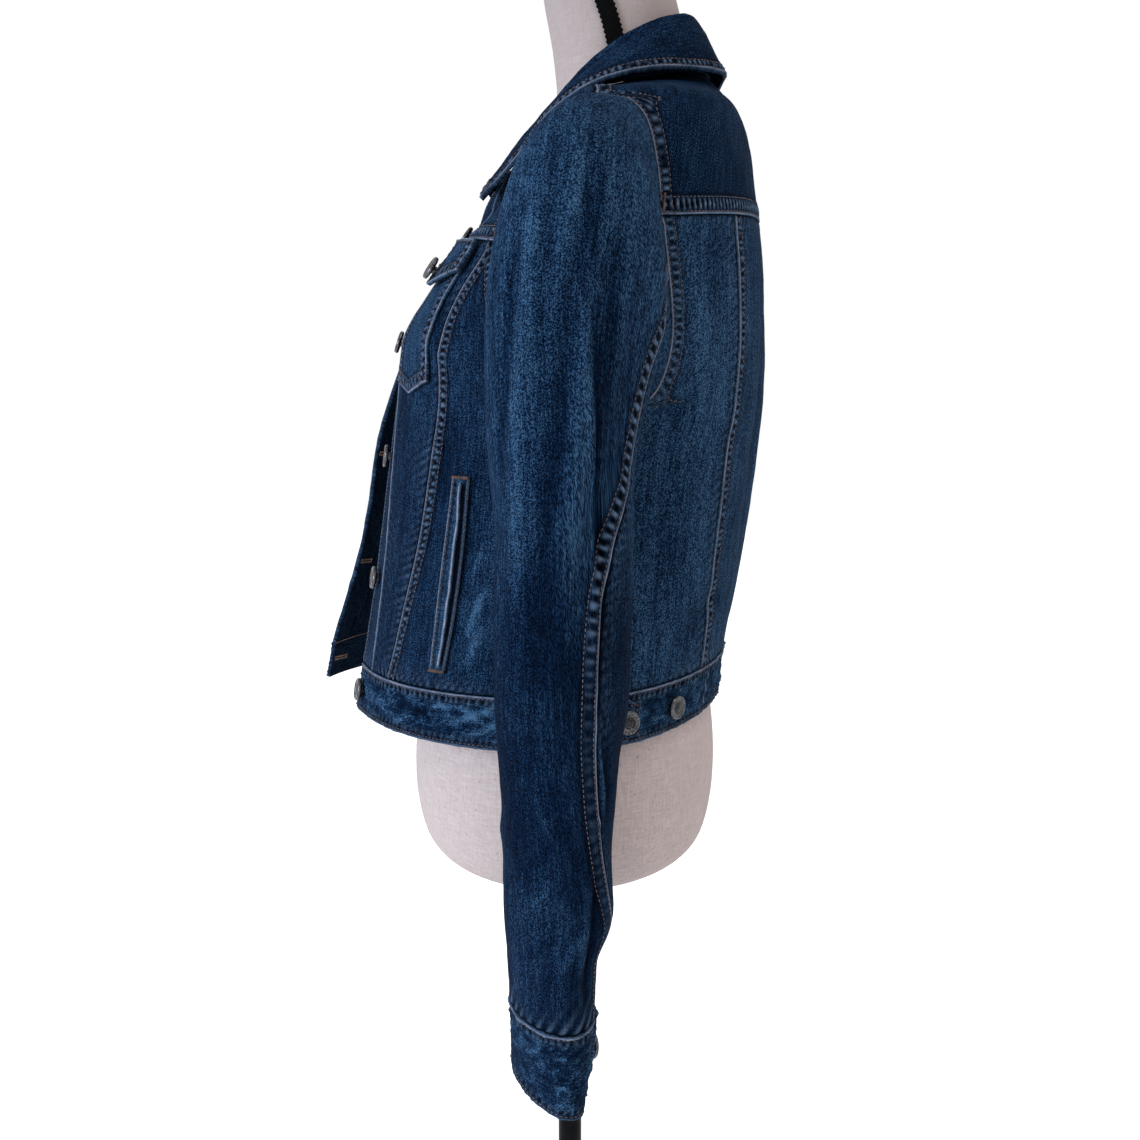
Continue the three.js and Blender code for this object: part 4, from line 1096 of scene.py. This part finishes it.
def denim_material():
    """Twill with fine salt and pepper grain, slubs along the warp and soft fades, with painted
    shade and light from the piece's attributes.
    """
    material, tree, shader = new_material("denim", Roughness=0.9, Specular_IOR_Level=0.015)
    place = attribute(tree, "cloth", "Vector")
    slub = noise_node(tree, place, (760, 60, 31), 2, 0.6)
    streak = noise_node(tree, place, (110, 8, 31), 2, 0.5)
    grain = noise_node(tree, place, (1250, 980, 31), 2, 0.7)
    cloud = noise_node(tree, place, (16, 11, 31), 2, 0.5)
    # tone: each piece's own darkening, with painted shade in fold hollows and across the sleeves
    # and painted light on ridges.
    value = arithmetic(tree, "MULTIPLY", attribute(tree, "tone"), -1)
    parts = ((grain, 0.09, 0.60), (slub, 0.12, 0.20), (streak, 0.15, 0.10), (cloud, 0.15, 0.10))
    for noisy, spread, share in parts:
        part = ramp(tree, noisy, 0.5 - spread, 0.5 + spread, 0, share)
        value = arithmetic(tree, "ADD", value, part)
    base = mixed(tree, ramp(tree, value, 0.08, 0.5), INDIGO_DEEP, INDIGO)
    base = mixed(tree, ramp(tree, value, 0.5, 1.0), base, INDIGO_FADED)
    wear = attribute(tree, "wear")
    speck = ramp(tree, grain, 0.38, 0.6, 0.55, 1.0)
    brushed = arithmetic(tree, "MULTIPLY", ramp(tree, wear, 0.0, 0.55), speck)
    base = mixed(tree, brushed, base, BRUSHED)
    speck = ramp(tree, grain, 0.35, 0.5, 0.7, 1.0)
    worn = arithmetic(tree, "MULTIPLY", ramp(tree, wear, 0.55, 0.9), speck)
    base = mixed(tree, worn, base, WORN_EDGE)
    # Painted shade from the dark attribute: seam gaps, stitch grooves, pucker hollows, pocket
    # mouths and inner faces.
    base = mixed(tree, attribute(tree, "dark"), base, PAINTED_SEAM_SHADE)
    feed(tree, shader.inputs["Base Color"], base)
    values = {"Vector": scaled(tree, place, (900, 900, 0)), "Scale": 0.4}
    twill = node_of(tree, "TexWave", values, wave_type="BANDS", bands_direction="DIAGONAL")
    weave = arithmetic(tree, "MULTIPLY", twill.outputs["Fac"], 0.3)
    bumped(tree, shader, arithmetic(tree, "ADD", grain, weave), 0.5, 0.0004)
    return material


def linen_material():
    material, tree, shader = new_material("linen", Roughness=0.92, Specular_IOR_Level=0.2)
    place = object_place(tree)
    threads_up = noise_node(tree, place, (900, 900, 90), 2, 0.6)
    threads_round = noise_node(tree, place, (90, 90, 1100), 2, 0.6)
    cloud = noise_node(tree, place, (14, 14, 10), 3, 0.5)
    weave = arithmetic(tree, "ADD", threads_up, threads_round)
    dark, light = (0.27, 0.222, 0.216), (0.385, 0.320, 0.310)
    base = mixed(tree, ramp(tree, weave, 0.75, 1.3), dark, light)
    base = mixed(tree, ramp(tree, cloud, 0.3, 0.7, 0, 0.4), base, (0.31, 0.255, 0.245))
    fleck = noise_node(tree, place, (420, 420, 260), 1, 0.5)
    base = mixed(tree, ramp(tree, fleck, 0.69, 0.76, 0, 0.5), base, (0.13, 0.09, 0.075))
    # Painted shade: the cover gets darker towards the top of the form.
    height = node_of(tree, "SeparateXYZ", (place,)).outputs["Z"]
    base = mixed(tree, ramp(tree, height, 1.05, 1.25, 0, 0.6), base, (0.20, 0.165, 0.16))
    feed(tree, shader.inputs["Base Color"], base)
    bumped(tree, shader, weave, 0.35, 0.0005)
    return material


def mottled(name, patch, span, dark, light, bump, fine=None, **values):
    """A material with noisy patches from dark to light; fine is the bump's own noise."""
    material, tree, shader = new_material(name, **values)
    place = object_place(tree)
    patch = noise_node(tree, place, *patch)
    share = ramp(tree, patch, *span) if span else patch
    feed(tree, shader.inputs["Base Color"], mixed(tree, share, dark, light))
    bumped(tree, shader, noise_node(tree, place, *fine) if fine else patch, *bump)
    return material


def thread_material(name, light, dark):
    patch, fine = ((120, 120, 120), 2, 0.6), ((2500, 2500, 2500), 1, 0.5)
    return mottled(name, patch, (0.35, 0.65), dark, light, (0.4, 0.0002), fine, Roughness=0.75)


def metal_material(name, light, dark, roughness):
    patch = ((900, 900, 900), 3, 0.6)
    values = {"Metallic": 1, "Roughness": roughness}
    return mottled(name, patch, (0.35, 0.65), dark, light, (0.25, 0.0003), **values)


DENIM = denim_material()
THREAD = thread_material("thread_brown", (0.085, 0.055, 0.055), (0.018, 0.014, 0.020))
RUST = thread_material("thread_rust", (0.10, 0.045, 0.028), (0.02, 0.013, 0.012))
TAN = thread_material("thread_tan", (0.20, 0.135, 0.095), (0.08, 0.045, 0.03))
LINEN = linen_material()
BLACK = mottled(
    "black_gloss", ((60, 60, 60), 3, 0.6), (0.3, 0.8), (0.001, 0.001, 0.001),
    (0.004, 0.004, 0.005), (0.08, 0.0004), Roughness=0.12, Specular_IOR_Level=0.03,
)
TRIM = mottled(
    "black_trim", ((700, 700, 500), 2, 0.6), None, (0.0005, 0.0005, 0.0005),
    (0.004, 0.004, 0.004), (0.6, 0.0008), Roughness=0.95, Specular_IOR_Level=0.02,
)
PEWTER = metal_material("pewter", (0.12, 0.12, 0.128), (0.02, 0.02, 0.024), 0.32)
PEWTER_DARK = metal_material("pewter_dark", (0.05, 0.05, 0.055), (0.010, 0.010, 0.012), 0.35)

# Pieces of the jacket

SIDES = ((1, "left"), (-1, "right"))
TWO_ROWS = Edge("lap", (2.0, 8.6), 0.85)
ONE_ROW = Edge("lap", (2.0,), 0.5)
FREE = Edge("lap", (2.4,), 0.5, light=0.35)
HEM_PULL = Edge("under", (), 0.9)
BAND_SEAM = Edge("lap", (2.0,), 1.0)
ON_BODY = [(BODY_FOLDS, body_point)]
ON_BAND = [(BAND_FOLDS, body_point)]
ON_SLEEVE = [(SLEEVE_FOLDS, sleeve_point)]
BAND = {
    "crosswise": True, "rough": 0.5, "steps": (2.0, 1.8), "folds": ON_BAND, "wrinkles": 0.8,
    "tone": 0.15,
}

# Half a seam's gap, in degrees round the body and round a sleeve
BODY_GAP_ANGLE, SLEEVE_GAP_ANGLE = 0.09, 0.22

# Millimetres of cloth for each degree round the body and round a sleeve
BODY_GIRTH, SLEEVE_GIRTH = 2.9, 0.79


def body_panels():
    armpit_share = (ARMPIT - BAND_TOP) / (YOKE - BAND_TOP)
    shoulder_share = (SHOULDER - YOKE) / (NECK - YOKE)
    hem_to_yoke = (HEM_PULL, UNDER)
    pulled = Edge("under", (), 0.5)
    placket_edge = Edge("lap", (4.0,), 0.3, light=0.5)
    armhole = Edge("lap", (2, 8.6), 0.7, (0, shoulder_share))
    side_seam = Edge("lap", (2, 8.6), 0.7, (armpit_share, 1))
    pieces = (
        ("placket", BAND_TOP, NECK, edge_angle, placket_angle, DOUBLE_CLOTH,
         (placket_edge, Edge("lap", (1.9,), 0.6), *hem_to_yoke), {"tone": 0.18}),
        ("front_panel", BAND_TOP, YOKE, placket_angle, front_seam_angle, CLOTH,
         (pulled, pulled, *hem_to_yoke), {"tone": 0.20}),
        ("front_side", BAND_TOP, YOKE, front_seam_angle, front_side_angle, CLOTH,
         (TWO_ROWS, TWO_ROWS, *hem_to_yoke), {"tone": 0.17}),
        ("front_yoke", YOKE, NECK, placket_angle, yoke_front_angle, CLOTH,
         (UNDER, armhole, Edge("lap", (2, 10), 1.0), UNDER), {"tone": 0.18}),
        ("back_side", BAND_TOP, YOKE, back_side_angle, back_seam_angle, CLOTH,
         (side_seam, UNDER, *hem_to_yoke), {}),
        ("waistband_front", HEM, BAND_TOP, edge_angle, side_seam_angle, DOUBLE_CLOTH,
         (FREE, UNDER, FREE, BAND_SEAM), BAND),
    )
    for side, label in SIDES:
        for name, low, high, start, end, thickness, edges, options in pieces:
            def place(u, v):
                level = mix(low, high, v)
                first = start(side, level) + BODY_GAP_ANGLE
                return side, mix(first, end(side, level) - BODY_GAP_ANGLE, u), level

            cloth(
                f"{name}_{label}", *on_body(place), thickness, edges, "draped", ["form_body"],
                sides=(side,), across=lambda u, v: place(u, v)[1] * BODY_GIRTH,
                **{"folds": ON_BODY, **options},
            )


def band_seams(u, v, along_u, along_v):
    """The two short seams across the back of the waistband."""
    height, wear, dark = 0 * u, 0 * u, 0 * u
    for share in (0.285, 0.715):
        d = along_u - along_u[:, -1:] * (share + 0.012 * (v - 0.5))
        height = height + 0.4 * hump(d - 1.0, 0.9) - 0.6 * hump(d, 0.6)
        wear = np.maximum(wear, 0.8 * hump(d - 1.0, 0.7))
        # Painted shade along one side of each seam.
        dark = np.maximum(dark, 0.9 * hump(d + 0.5, 0.9))
    return height, wear, dark


def back_panels():
    yoke_foot = Edge("lap", (2, 11), 1.0, pitch=4.4)
    pieces = (
        ("back_panel", BAND_TOP, YOKE, back_seam_angle, CLOTH,
         (TWO_ROWS, TWO_ROWS, HEM_PULL, UNDER), {}),
        ("back_yoke", YOKE, NECK, yoke_back_angle, CLOTH,
         (TWO_ROWS, TWO_ROWS, yoke_foot, UNDER), {"tone": 0.17, "steps": (1.2, 2.4)}),
        ("waistband_back", HEM, BAND_TOP, side_seam_angle, DOUBLE_CLOTH,
         (UNDER, UNDER, FREE, BAND_SEAM), {**BAND, "extra": band_seams}),
    )
    for name, low, high, limit, thickness, edges, options in pieces:
        def place(u, v):
            level = mix(low, high, v)
            side = np.where(u < 0.5, 1.0, -1.0)
            return side, mix(180, limit(1, level) + BODY_GAP_ANGLE, np.abs(1 - 2 * u)), level

        def across(u, v):
            side, angle, _ = place(u, v)
            return side * (angle - 180) * BODY_GIRTH

        cloth(
            name, *on_body(place), thickness, edges, "draped", ["form_body"], across=across,
            **{"folds": ON_BODY, **options},
        )


def sleeve_shading(p):
    """Painted shade on a sleeve: darkest between 640 and 800 mm up, lightest at its upper end."""
    z = p[..., 2]
    middle = smooth(900, 800, z) * (1 - 0.45 * smooth(720, 640, z))
    return 0.09 + 0.22 * middle - 0.09 * smooth(960, 1080, z)


def sleeves():
    felled = Edge("lap", (1.8, 9.6), 0.9, pitch=7.6, calm=0.54)
    cuff_pull = Edge("under", (), 1.1, pitch=7)
    for side, label in SIDES:
        body_sides = [f"front_side_{label}", f"back_side_{label}"]
        for name, start, end, first_edge, rests_on, step in (
            ("outer", lambda row: -SLEEVE.seam(row), lambda row: 180 + 0 * row, felled,
             [f"front_yoke_{label}", "back_yoke"], 2.2),
            ("under", lambda row: 180 + 0 * row, lambda row: 360 - SLEEVE.seam(row), UNDER,
             body_sides, 2.6),
        ):
            def place(u, v):
                row = np.minimum(v * CUFF_ROW, CUFF_ROW - 0.01)
                first, last = start(row) + SLEEVE_GAP_ANGLE, end(row) - SLEEVE_GAP_ANGLE
                return sleeve_point(side, mix(first, last, u), row)

            def across(u, v):
                return mix(start(v * CUFF_ROW), end(v * CUFF_ROW), u) * SLEEVE_GIRTH

            cloth(
                f"sleeve_{name}_{label}", *free_surface(place, side < 0), CLOTH,
                (first_edge, UNDER, UNDER, cuff_pull), "hung", rests_on, folds=ON_SLEEVE,
                sides=(side,), shades=sleeve_shading, steps=(step, step), across=across,
            )
        cuff = free_surface(lambda u, v: cuff_point(side, u, v), side < 0)
        cloth(
            f"cuff_{label}", *cuff, DOUBLE_CLOTH, (FREE, FREE, Edge("lap", (2.0,), 0.8), FREE),
            "hung", [f"sleeve_outer_{label}"], crosswise=True, rough=0.4, steps=(1.9, 1.8),
            wrinkles=0.75, tone=0.15,
        )


def collar():
    point, normal = free_surface(collar_point, True)
    front = Edge("lap", (2.2, 7.5), 0.5)
    cloth(
        "collar", lambda u, v: point(u, v) + normal(u, v) * COLLAR_WALL / 2, normal, COLLAR_WALL,
        (front, front, UNDER, Edge("lap", (1.9, 7.5), 0.95)), "folded", ["back_yoke", "form_body"],
        crosswise=True, steps=(2.4, 2.0), wrinkles=0.12, tone=0.22,
    )


def laid_on(node, side, place, lift, thickness, edges, rests_on, folds=ON_BODY, **options):
    surface, normal = on_body(place, lambda u, v: lift(u, v) + thickness)
    options.update(folds=folds, sides=(side,))
    return cloth(node, surface, normal, thickness, edges, "laid", rests_on, **options)


POCKET_INNER, POCKET_OUTER, POCKET_TAPER = 68, 128, 5
POCKET_TOP_LEVEL, POCKET_CORNER_LEVEL, POCKET_POINT_LEVEL = 7.86, 5.38, 5.16
FLAP_INNER, FLAP_OUTER = 65, 131
FLAP_TOP_LEVEL, FLAP_CORNER_LEVEL, FLAP_POINT_LEVEL = 7.93, 7.28, 6.98
WELT_TOP_LEVEL, WELT_FOOT_LEVEL = 3.72, 1.28
TAB_FROM_ANGLE, TAB_TO_ANGLE, TAB_LEVEL, TAB_HALF = 84, 109.8, 0.5, 0.41
POCKET_WALL, FLAP_WALL, WELT_WALL, TAB_WALL = 1.4, 2.2, 1.6, 2.2


def tent(u):
    return 1 - np.abs(2 * u - 1)


def pockets():
    for side, label in SIDES:
        def pocket_place(u, v):
            foot = mix(POCKET_CORNER_LEVEL, POCKET_POINT_LEVEL, tent(u))
            level = mix(foot, POCKET_TOP_LEVEL, v)
            inner = POCKET_INNER + POCKET_TAPER * (1 - v)
            outer = POCKET_OUTER - POCKET_TAPER * (1 - v)
            return side, angle_at(side, level, mix(inner, outer, u), False), level

        def flap_place(u, v):
            foot = mix(FLAP_CORNER_LEVEL, FLAP_POINT_LEVEL, tent(u))
            level = mix(foot, FLAP_TOP_LEVEL, v)
            return side, angle_at(side, level, mix(FLAP_INNER, FLAP_OUTER, u), False), level

        def flap_lift(u, v):
            return 2 * PATCH_GAP + POCKET_WALL + (1 - v) * (1 + 3 * tent(u))

        def welt_place(u, v):
            level = mix(WELT_FOOT_LEVEL, WELT_TOP_LEVEL, v)
            u = u + 0.22 * (u - 0.43) * np.sin(np.pi * v)
            share = mix(mix(0.56, 0.565, v), mix(0.49, 0.48, v), u)
            return side, angle_at_share(side, level, share), level

        def tab_place(u, v):
            half = TAB_HALF * np.where(u > 0.9, 0.86, 1)
            return side, mix(TAB_FROM_ANGLE, TAB_TO_ANGLE, u), TAB_LEVEL + half * (2 * v - 1)

        def close_by(u, v):
            return PATCH_GAP + 0 * u

        laid_on(
            f"pocket_{label}", side, pocket_place, close_by, POCKET_WALL,
            (TWO_ROWS, TWO_ROWS, TWO_ROWS, PLAIN), [f"front_panel_{label}"], steps=(2.2, 2.2),
        )
        laid_on(
            f"flap_{label}", side, flap_place, flap_lift, FLAP_WALL,
            (TWO_ROWS, TWO_ROWS, TWO_ROWS, ONE_ROW), [f"pocket_{label}"], steps=(2.2, 2.0),
        )
        welt_sides = Edge("lap", (1.9,), 0.25), Edge("lap", (0.9,), 0.0)
        welt = laid_on(
            f"welt_{label}", side, welt_place, close_by, WELT_WALL,
            (*welt_sides, PLAIN, PLAIN), [f"front_side_{label}"], steps=(0.55, 2.0),
            extra=welt_mouth,
        )
        tab = laid_on(
            f"tab_{label}", side, tab_place, close_by, TAB_WALL, (PLAIN, FREE, FREE, FREE),
            ["waistband_back", f"waistband_front_{label}"], (), steps=(2.0, 2.0), crosswise=True,
        )
        for end, v in (("top", 0.985), ("foot", 0.015)):
            ends = spot(welt, 0.04, v), spot(welt, 0.96, v)
            bar_tack(f"tack_welt_{end}_{label}", *ends, 2.4, RUST)
        buttonhole(f"tab_hole_{label}", spot(tab, 0.86, 0.5), (-0.35, 1, 0), 15)


def welt_mouth(u, v, along_u, along_v):
    """The welt's frayed inner edge, with painted shadow in the mouth of the pocket behind it."""
    width = along_u[:, -1:]
    edge = 0.54 * width + 1.0 * noise_along(along_v, 21, 5) + 0.35 * noise_along(along_v, 7, 9)
    inside = smooth(0.02, 0.05, v) * (1 - smooth(0.95, 0.98, v))
    mouth = smooth(0.5, 1.1, along_u - edge) * (1 - smooth(-3.6, -2.6, along_u - width)) * inside
    fray = hump(along_u - edge + 0.3, 1.0) * inside
    wear = fray * (0.8 + 0.2 * noise_along(along_v, 3, 21))
    return 0.6 * fray - 1.2 * mouth, wear, 0.98 * mouth


def spot(piece, u, v):
    """A point of a piece's face and the direction out of it."""
    j = np.argmin(np.abs(piece.v[:, 0] - v))
    i = np.argmin(np.abs(piece.u[0] - u))
    return piece.outer[j, i], piece.normals[j, i]


def bar_tack(name, start, end, width, material):
    """Close short threads across the line from start to end."""
    (p, n), (q, m) = start, end
    count = max(2, int(np.linalg.norm(q - p) / 0.62))
    out = unit(n + m)
    side = unit(np.cross(out, q - p)) * (width + 1.7) / 2
    rows = []
    for k in range(count + 1):
        middle = mix(p, q, k / count) + out * 0.3
        rows.append((np.array([middle - side, middle + side]), np.array([out, out])))
    threads(name, rows, material, length=width, pitch=99)


def buttonhole(name, at, direction, length, material=None):
    """A worked buttonhole: two close rows of short threads, with short bars across both ends."""
    middle, out = at
    material = material or THREAD
    along = np.array(direction, float)
    along = unit(along - out * (along @ out))
    side = unit(np.cross(out, along))
    for k, sign in enumerate((-1, 1)):
        row = middle + side * sign * 1.15
        ends = (row - along * length / 2, out), (row + along * length / 2, out)
        bar_tack(f"{name}_{k + 1}", *ends, 1.5, material)
    for k, sign in enumerate((-1, 1)):
        row = middle + along * sign * length / 2
        ends = (row - side * 1.6, out), (row + side * 1.6, out)
        bar_tack(f"{name}_end_{k + 1}", *ends, 1.4, material)


FRONT_BUTTON_LEVELS = [0.5, 2.25, 3.87, 6.08, 8.3]
HOLE_LENGTH, HOLE_INSET = 19, 13
YOKE_SEAM_LEVEL = 8.2
# Where the inside seam of the right waistband shows
BAND_LINE_ANGLES = np.linspace(12, 34, 40)


def on_face(side, angle, level, lift=0.0):
    """A point of the body's face, moved out by lift, and the direction out of it."""
    out = body_normal(side, angle, level)
    return body_point(side, angle, level) + out * lift, out


def small_marks():
    """Buttonholes on the wearer's right front, and bar tacks at the ends of the seams."""
    for i, level in enumerate(FRONT_BUTTON_LEVELS):
        angle = angle_at(-1, level, edge_distance(-1, level) + HOLE_INSET, False)
        point, out = on_face(-1, angle, level)
        buttonhole(f"front_hole_{i + 1}", (point, out), (1, 0, 0), HOLE_LENGTH)
        inside = point - out * (DOUBLE_CLOTH + 0.2)
        buttonhole(f"front_hole_{i + 1}_inside", (inside, -out), (1, 0, 0), HOLE_LENGTH, TAN)
    for side, label in SIDES:
        for name, behind, turn, low, high in (
            ("tack_yoke_back", True, 1.0, 8.05, 8.4),
            ("tack_yoke_front", False, -1.0, 8.06, 8.3),
        ):
            angle = side_angle(np.array(YOKE_SEAM_LEVEL), behind) + turn
            ends = on_face(side, angle, low, 0.5), on_face(side, angle, high, 0.5)
            bar_tack(f"{name}_{label}", *ends, 1.7, RUST)
    line, out = on_face(-1, BAND_LINE_ANGLES, np.full(40, BAND_TOP - 0.06), -DOUBLE_CLOTH - 0.2)
    threads("band_line_inside", [(line, -out)], TAN, pitch=2.2, length=2.2)


# Buttons


def turned_mesh(profile, count):
    """A surface turned round Z from [radius, height] points."""
    turns = 2 * math.pi * np.arange(count) / count
    verts = [(r * math.cos(a), r * math.sin(a), height) for r, height in profile for a in turns]
    return np.array(verts), ring_faces(len(profile), count)


BUTTON_PROFILE = [
    (2.9, 0), (2.9, 2.4), (7.4, 2.4), (8.1, 2.7), (8.45, 3.3), (8.45, 4.2), (8.2, 4.9),
    (7.7, 5.35), (7.2, 5.45), (6.8, 5.3), (6.5, 4.95), (6.1, 4.8), (5.4, 4.85), (5.1, 5.1),
    (4.75, 5.25), (4.4, 5.1), (4.15, 4.7), (3.9, 4.75), (3.3, 5.1), (2.4, 5.4), (1.4, 5.58),
    (0.5, 5.62),
]
DARK_RADIUS = 4.2
TAB_BUTTON_ANGLE, SPARE_BUTTON_ANGLE = 106, 121.6
FLAP_BUTTON_LEVEL, FLAP_BUTTON_DISTANCE = 7.22, 98
CUFF_BUTTON_TURN = 0.955


def button_places():
    """Each button's node with the point that it stands on and the direction out of it."""
    places = []
    for i, level in enumerate(FRONT_BUTTON_LEVELS):
        angle = angle_at(1, level, edge_distance(1, level) + PLACKET_WIDTH / 2, False)
        places.append((f"button_front_{i + 1}", *on_face(1, angle, level)))
    share = (FLAP_BUTTON_LEVEL - FLAP_POINT_LEVEL) / (FLAP_TOP_LEVEL - FLAP_POINT_LEVEL)
    for side, label in SIDES:
        flap_angle = angle_at(side, FLAP_BUTTON_LEVEL, FLAP_BUTTON_DISTANCE, False)
        for name, angle, level, lift in (
            ("tab", TAB_BUTTON_ANGLE, TAB_LEVEL, 3.0),
            ("spare", SPARE_BUTTON_ANGLE, TAB_LEVEL, 0.0),
            ("flap", flap_angle, FLAP_BUTTON_LEVEL, 5.8 + 4 * (1 - share)),
        ):
            places.append((f"button_{name}_{label}", *on_face(side, angle, level, lift)))
        point, normal = free_surface(lambda u, v: cuff_point(side, u, v), side < 0)
        at = np.array(CUFF_BUTTON_TURN), np.array(0.5)
        places.append((f"button_cuff_{label}", point(*at), normal(*at)))
    return places


def buttons():
    verts, faces = turned_mesh(BUTTON_PROFILE, 40)
    radius = np.linalg.norm(verts[:, :2], axis=1)
    for node, foot, out in button_places():
        turn = np.array(Vector(out).to_track_quat("Z", "Y").to_matrix())
        placed = verts @ turn.T + foot + out * SEAM_GAP
        obj = make_mesh(node.replace("button", "shank_button"), placed, faces, PEWTER, sharp=50)
        obj.data.materials.append(PEWTER_DARK)
        for face in obj.data.polygons:
            if radius[list(face.vertices)].max() < DARK_RADIUS and verts[face.vertices[0], 2] > 3:
                face.material_index = 1
        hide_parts(node)


# Dress form and stand


FORM_SQUARE = 2.1


def form_ring(z_front, z_side, z_back, half_width, side_y, front_y, back_y, count):
    t = 2 * np.pi * np.arange(count) / count
    front = np.cos(t) > 0
    depth = np.where(front, side_y - front_y, back_y - side_y)
    across, along = np.abs(np.sin(t)) / half_width, np.abs(np.cos(t)) / depth
    reach = (across**FORM_SQUARE + along**FORM_SQUARE) ** (-1 / FORM_SQUARE)
    z = mix(z_side, np.where(front, z_front, z_back), np.cos(t) ** 2)
    return np.stack([reach * np.sin(t), side_y - reach * np.cos(t), z], -1)


FORM_BOTTOM_Z = 613
NECK_TOP_Z = 1290
FORM_FLAT_ROWS = [
    [FORM_BOTTOM_Z, 118, -88, 78],
    [615, 138, -104, 94],
    [623, 150, -114, 105],
    [638, 158, -120, 111],
    [665, 164, -124, 115],
    [700, 165, -123, 115],
    [740, 161, -116, 110],
    [790, 146, -99, 98],
    [840, 127, -88, 88],
    [885, 118, -88, 84],
    [930, 126, -103, 90],
    [965, 137, -116, 100],
]
# How far the form stays inside the jacket at each level
FORM_INSIDE_ROWS = [
    (6, 8), (7, 6), (YOKE, 5), (9, 5.5), (9.5, 5.5), (SHOULDER, 4.4), (10.6, 3.6), (11.3, 3.6),
    (NECK, 4.6),
]
NECK_ROWS = [
    [1136, 1188, 1211, 56, 22, -38, 90],
    [1176, 1206, 1225, 52.5, 28, -12, 86],
    [1215, 1231, 1242, 51, 31, -12, 84],
    [1258, 1261, 1265, 50.5, 29, -19.5, 78],
    [NECK_TOP_Z, NECK_TOP_Z, NECK_TOP_Z, 50, 25, -24, 73],
]


def form_inside(level, room, count):
    turn = 360 * np.arange(count) / count
    side = np.where(turn <= 180, 1.0, -1.0)
    angle = np.where(turn <= 180, turn, 360 - turn)
    one = np.ones(count)
    p = body_point(one, angle, level * one) - body_normal(one, angle, level * one) * room
    p[:, 0] *= side
    return p


def dress_form():
    count, fine = 96, 4
    rings = []
    for z, half_width, front, back in FORM_FLAT_ROWS:
        rings.append(form_ring(z, z, z, half_width, (front + back) / 2, front, back, count))
    rings += [form_inside(level, room, count) for level, room in FORM_INSIDE_ROWS]
    rings += [form_ring(*row, count) for row in NECK_ROWS]
    steps = np.linspace(0, 1, (len(rings) - 1) * fine + 1)
    verts = np.concatenate([through_points(rings, np.full(count, s)) for s in steps])
    faces = facing_out(verts, ring_faces(len(steps), count))
    obj = make_mesh("form_cover", verts, faces, LINEN, sharp=50)
    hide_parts("form_body")


NECK_SIDE = columns(
    "z halfWidth ySide yFront", [[row[1], row[3], row[4], row[5]] for row in NECK_ROWS]
)
TRIM_FOOT_Z, TRIM_TOP_Z = 1210, NECK_TOP_Z - 1
TRIM_LINE = columns("z y", [[TRIM_FOOT_Z, 33.5], [1225, 30], [1255, 20], [TRIM_TOP_Z, 10]])
TRIM_HALF, TRIM_LIFT, TRIM_TOOTH = 6.6, 1.2, 3.5


def neck_trims():
    """Knitted strips over the side seams of the neck, with small teeth along both edges."""
    z = np.linspace(TRIM_FOOT_Z, TRIM_TOP_Z, 186)[:, None]
    for side, label in SIDES:
        across = np.linspace(-1, 1, 13)[None, :]
        tooth = 1 - np.abs(np.mod(z / TRIM_TOOTH + 0.25 * across, 1) * 2 - 1)
        half = TRIM_HALF + 1.5 * (tooth - 0.5) * np.abs(across) ** 6
        y = TRIM_LINE.y(z) + across * half
        depth = NECK_SIDE.ySide(z) - NECK_SIDE.yFront(z) + TRIM_LIFT
        share = clamp01(np.abs(y - NECK_SIDE.ySide(z)) / depth)
        away = (1 - share**FORM_SQUARE) ** (1 / FORM_SQUARE)
        x = (NECK_SIDE.halfWidth(z) + TRIM_LIFT) * away
        inner = np.stack([side * x, y, z + 0 * y], -1)
        knit = 0.25 * np.sin(2 * np.pi * z / TRIM_TOOTH) * np.cos(3 * np.pi * across)
        outer = inner + np.array([side, 0, 0]) * (1.1 + knit * (1 - across**4))[..., None]
        verts, faces, _ = wall_mesh(outer, inner)
        obj = make_mesh("trim_strip_" + label, verts, facing_out(verts, faces), TRIM)
        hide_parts("neck_trim_" + label)


def stand():
    for node in ("pole", "base", "neck_cap"):
        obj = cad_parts[node]
        obj.data.materials.clear()
        obj.data.materials.append(BLACK)


FLOOR_HALF = 9


def floor():
    material, tree, shader = new_material(
        "paper", Roughness=0.9, Emission_Color=(1, 1, 1), Emission_Strength=0.35
    )
    cloud = noise_node(tree, object_place(tree), (2, 2, 2), 2, 0.5)
    color = mixed(tree, cloud, (0.93, 0.93, 0.93), (0.96, 0.96, 0.96))
    feed(tree, shader.inputs["Base Color"], color)
    mesh = bpy.data.meshes.new("floor")
    h = FLOOR_HALF
    mesh.from_pydata([(-h, -h, 0), (h, -h, 0), (h, h, 0), (-h, h, 0)], [], [(0, 1, 2, 3)])
    mesh.materials.append(material)
    new_object("floor", mesh)


make_camera()
make_light()
floor()
body_panels()
back_panels()
sleeves()
collar()
pockets()
small_marks()
buttons()
dress_form()
neck_trims()
stand()
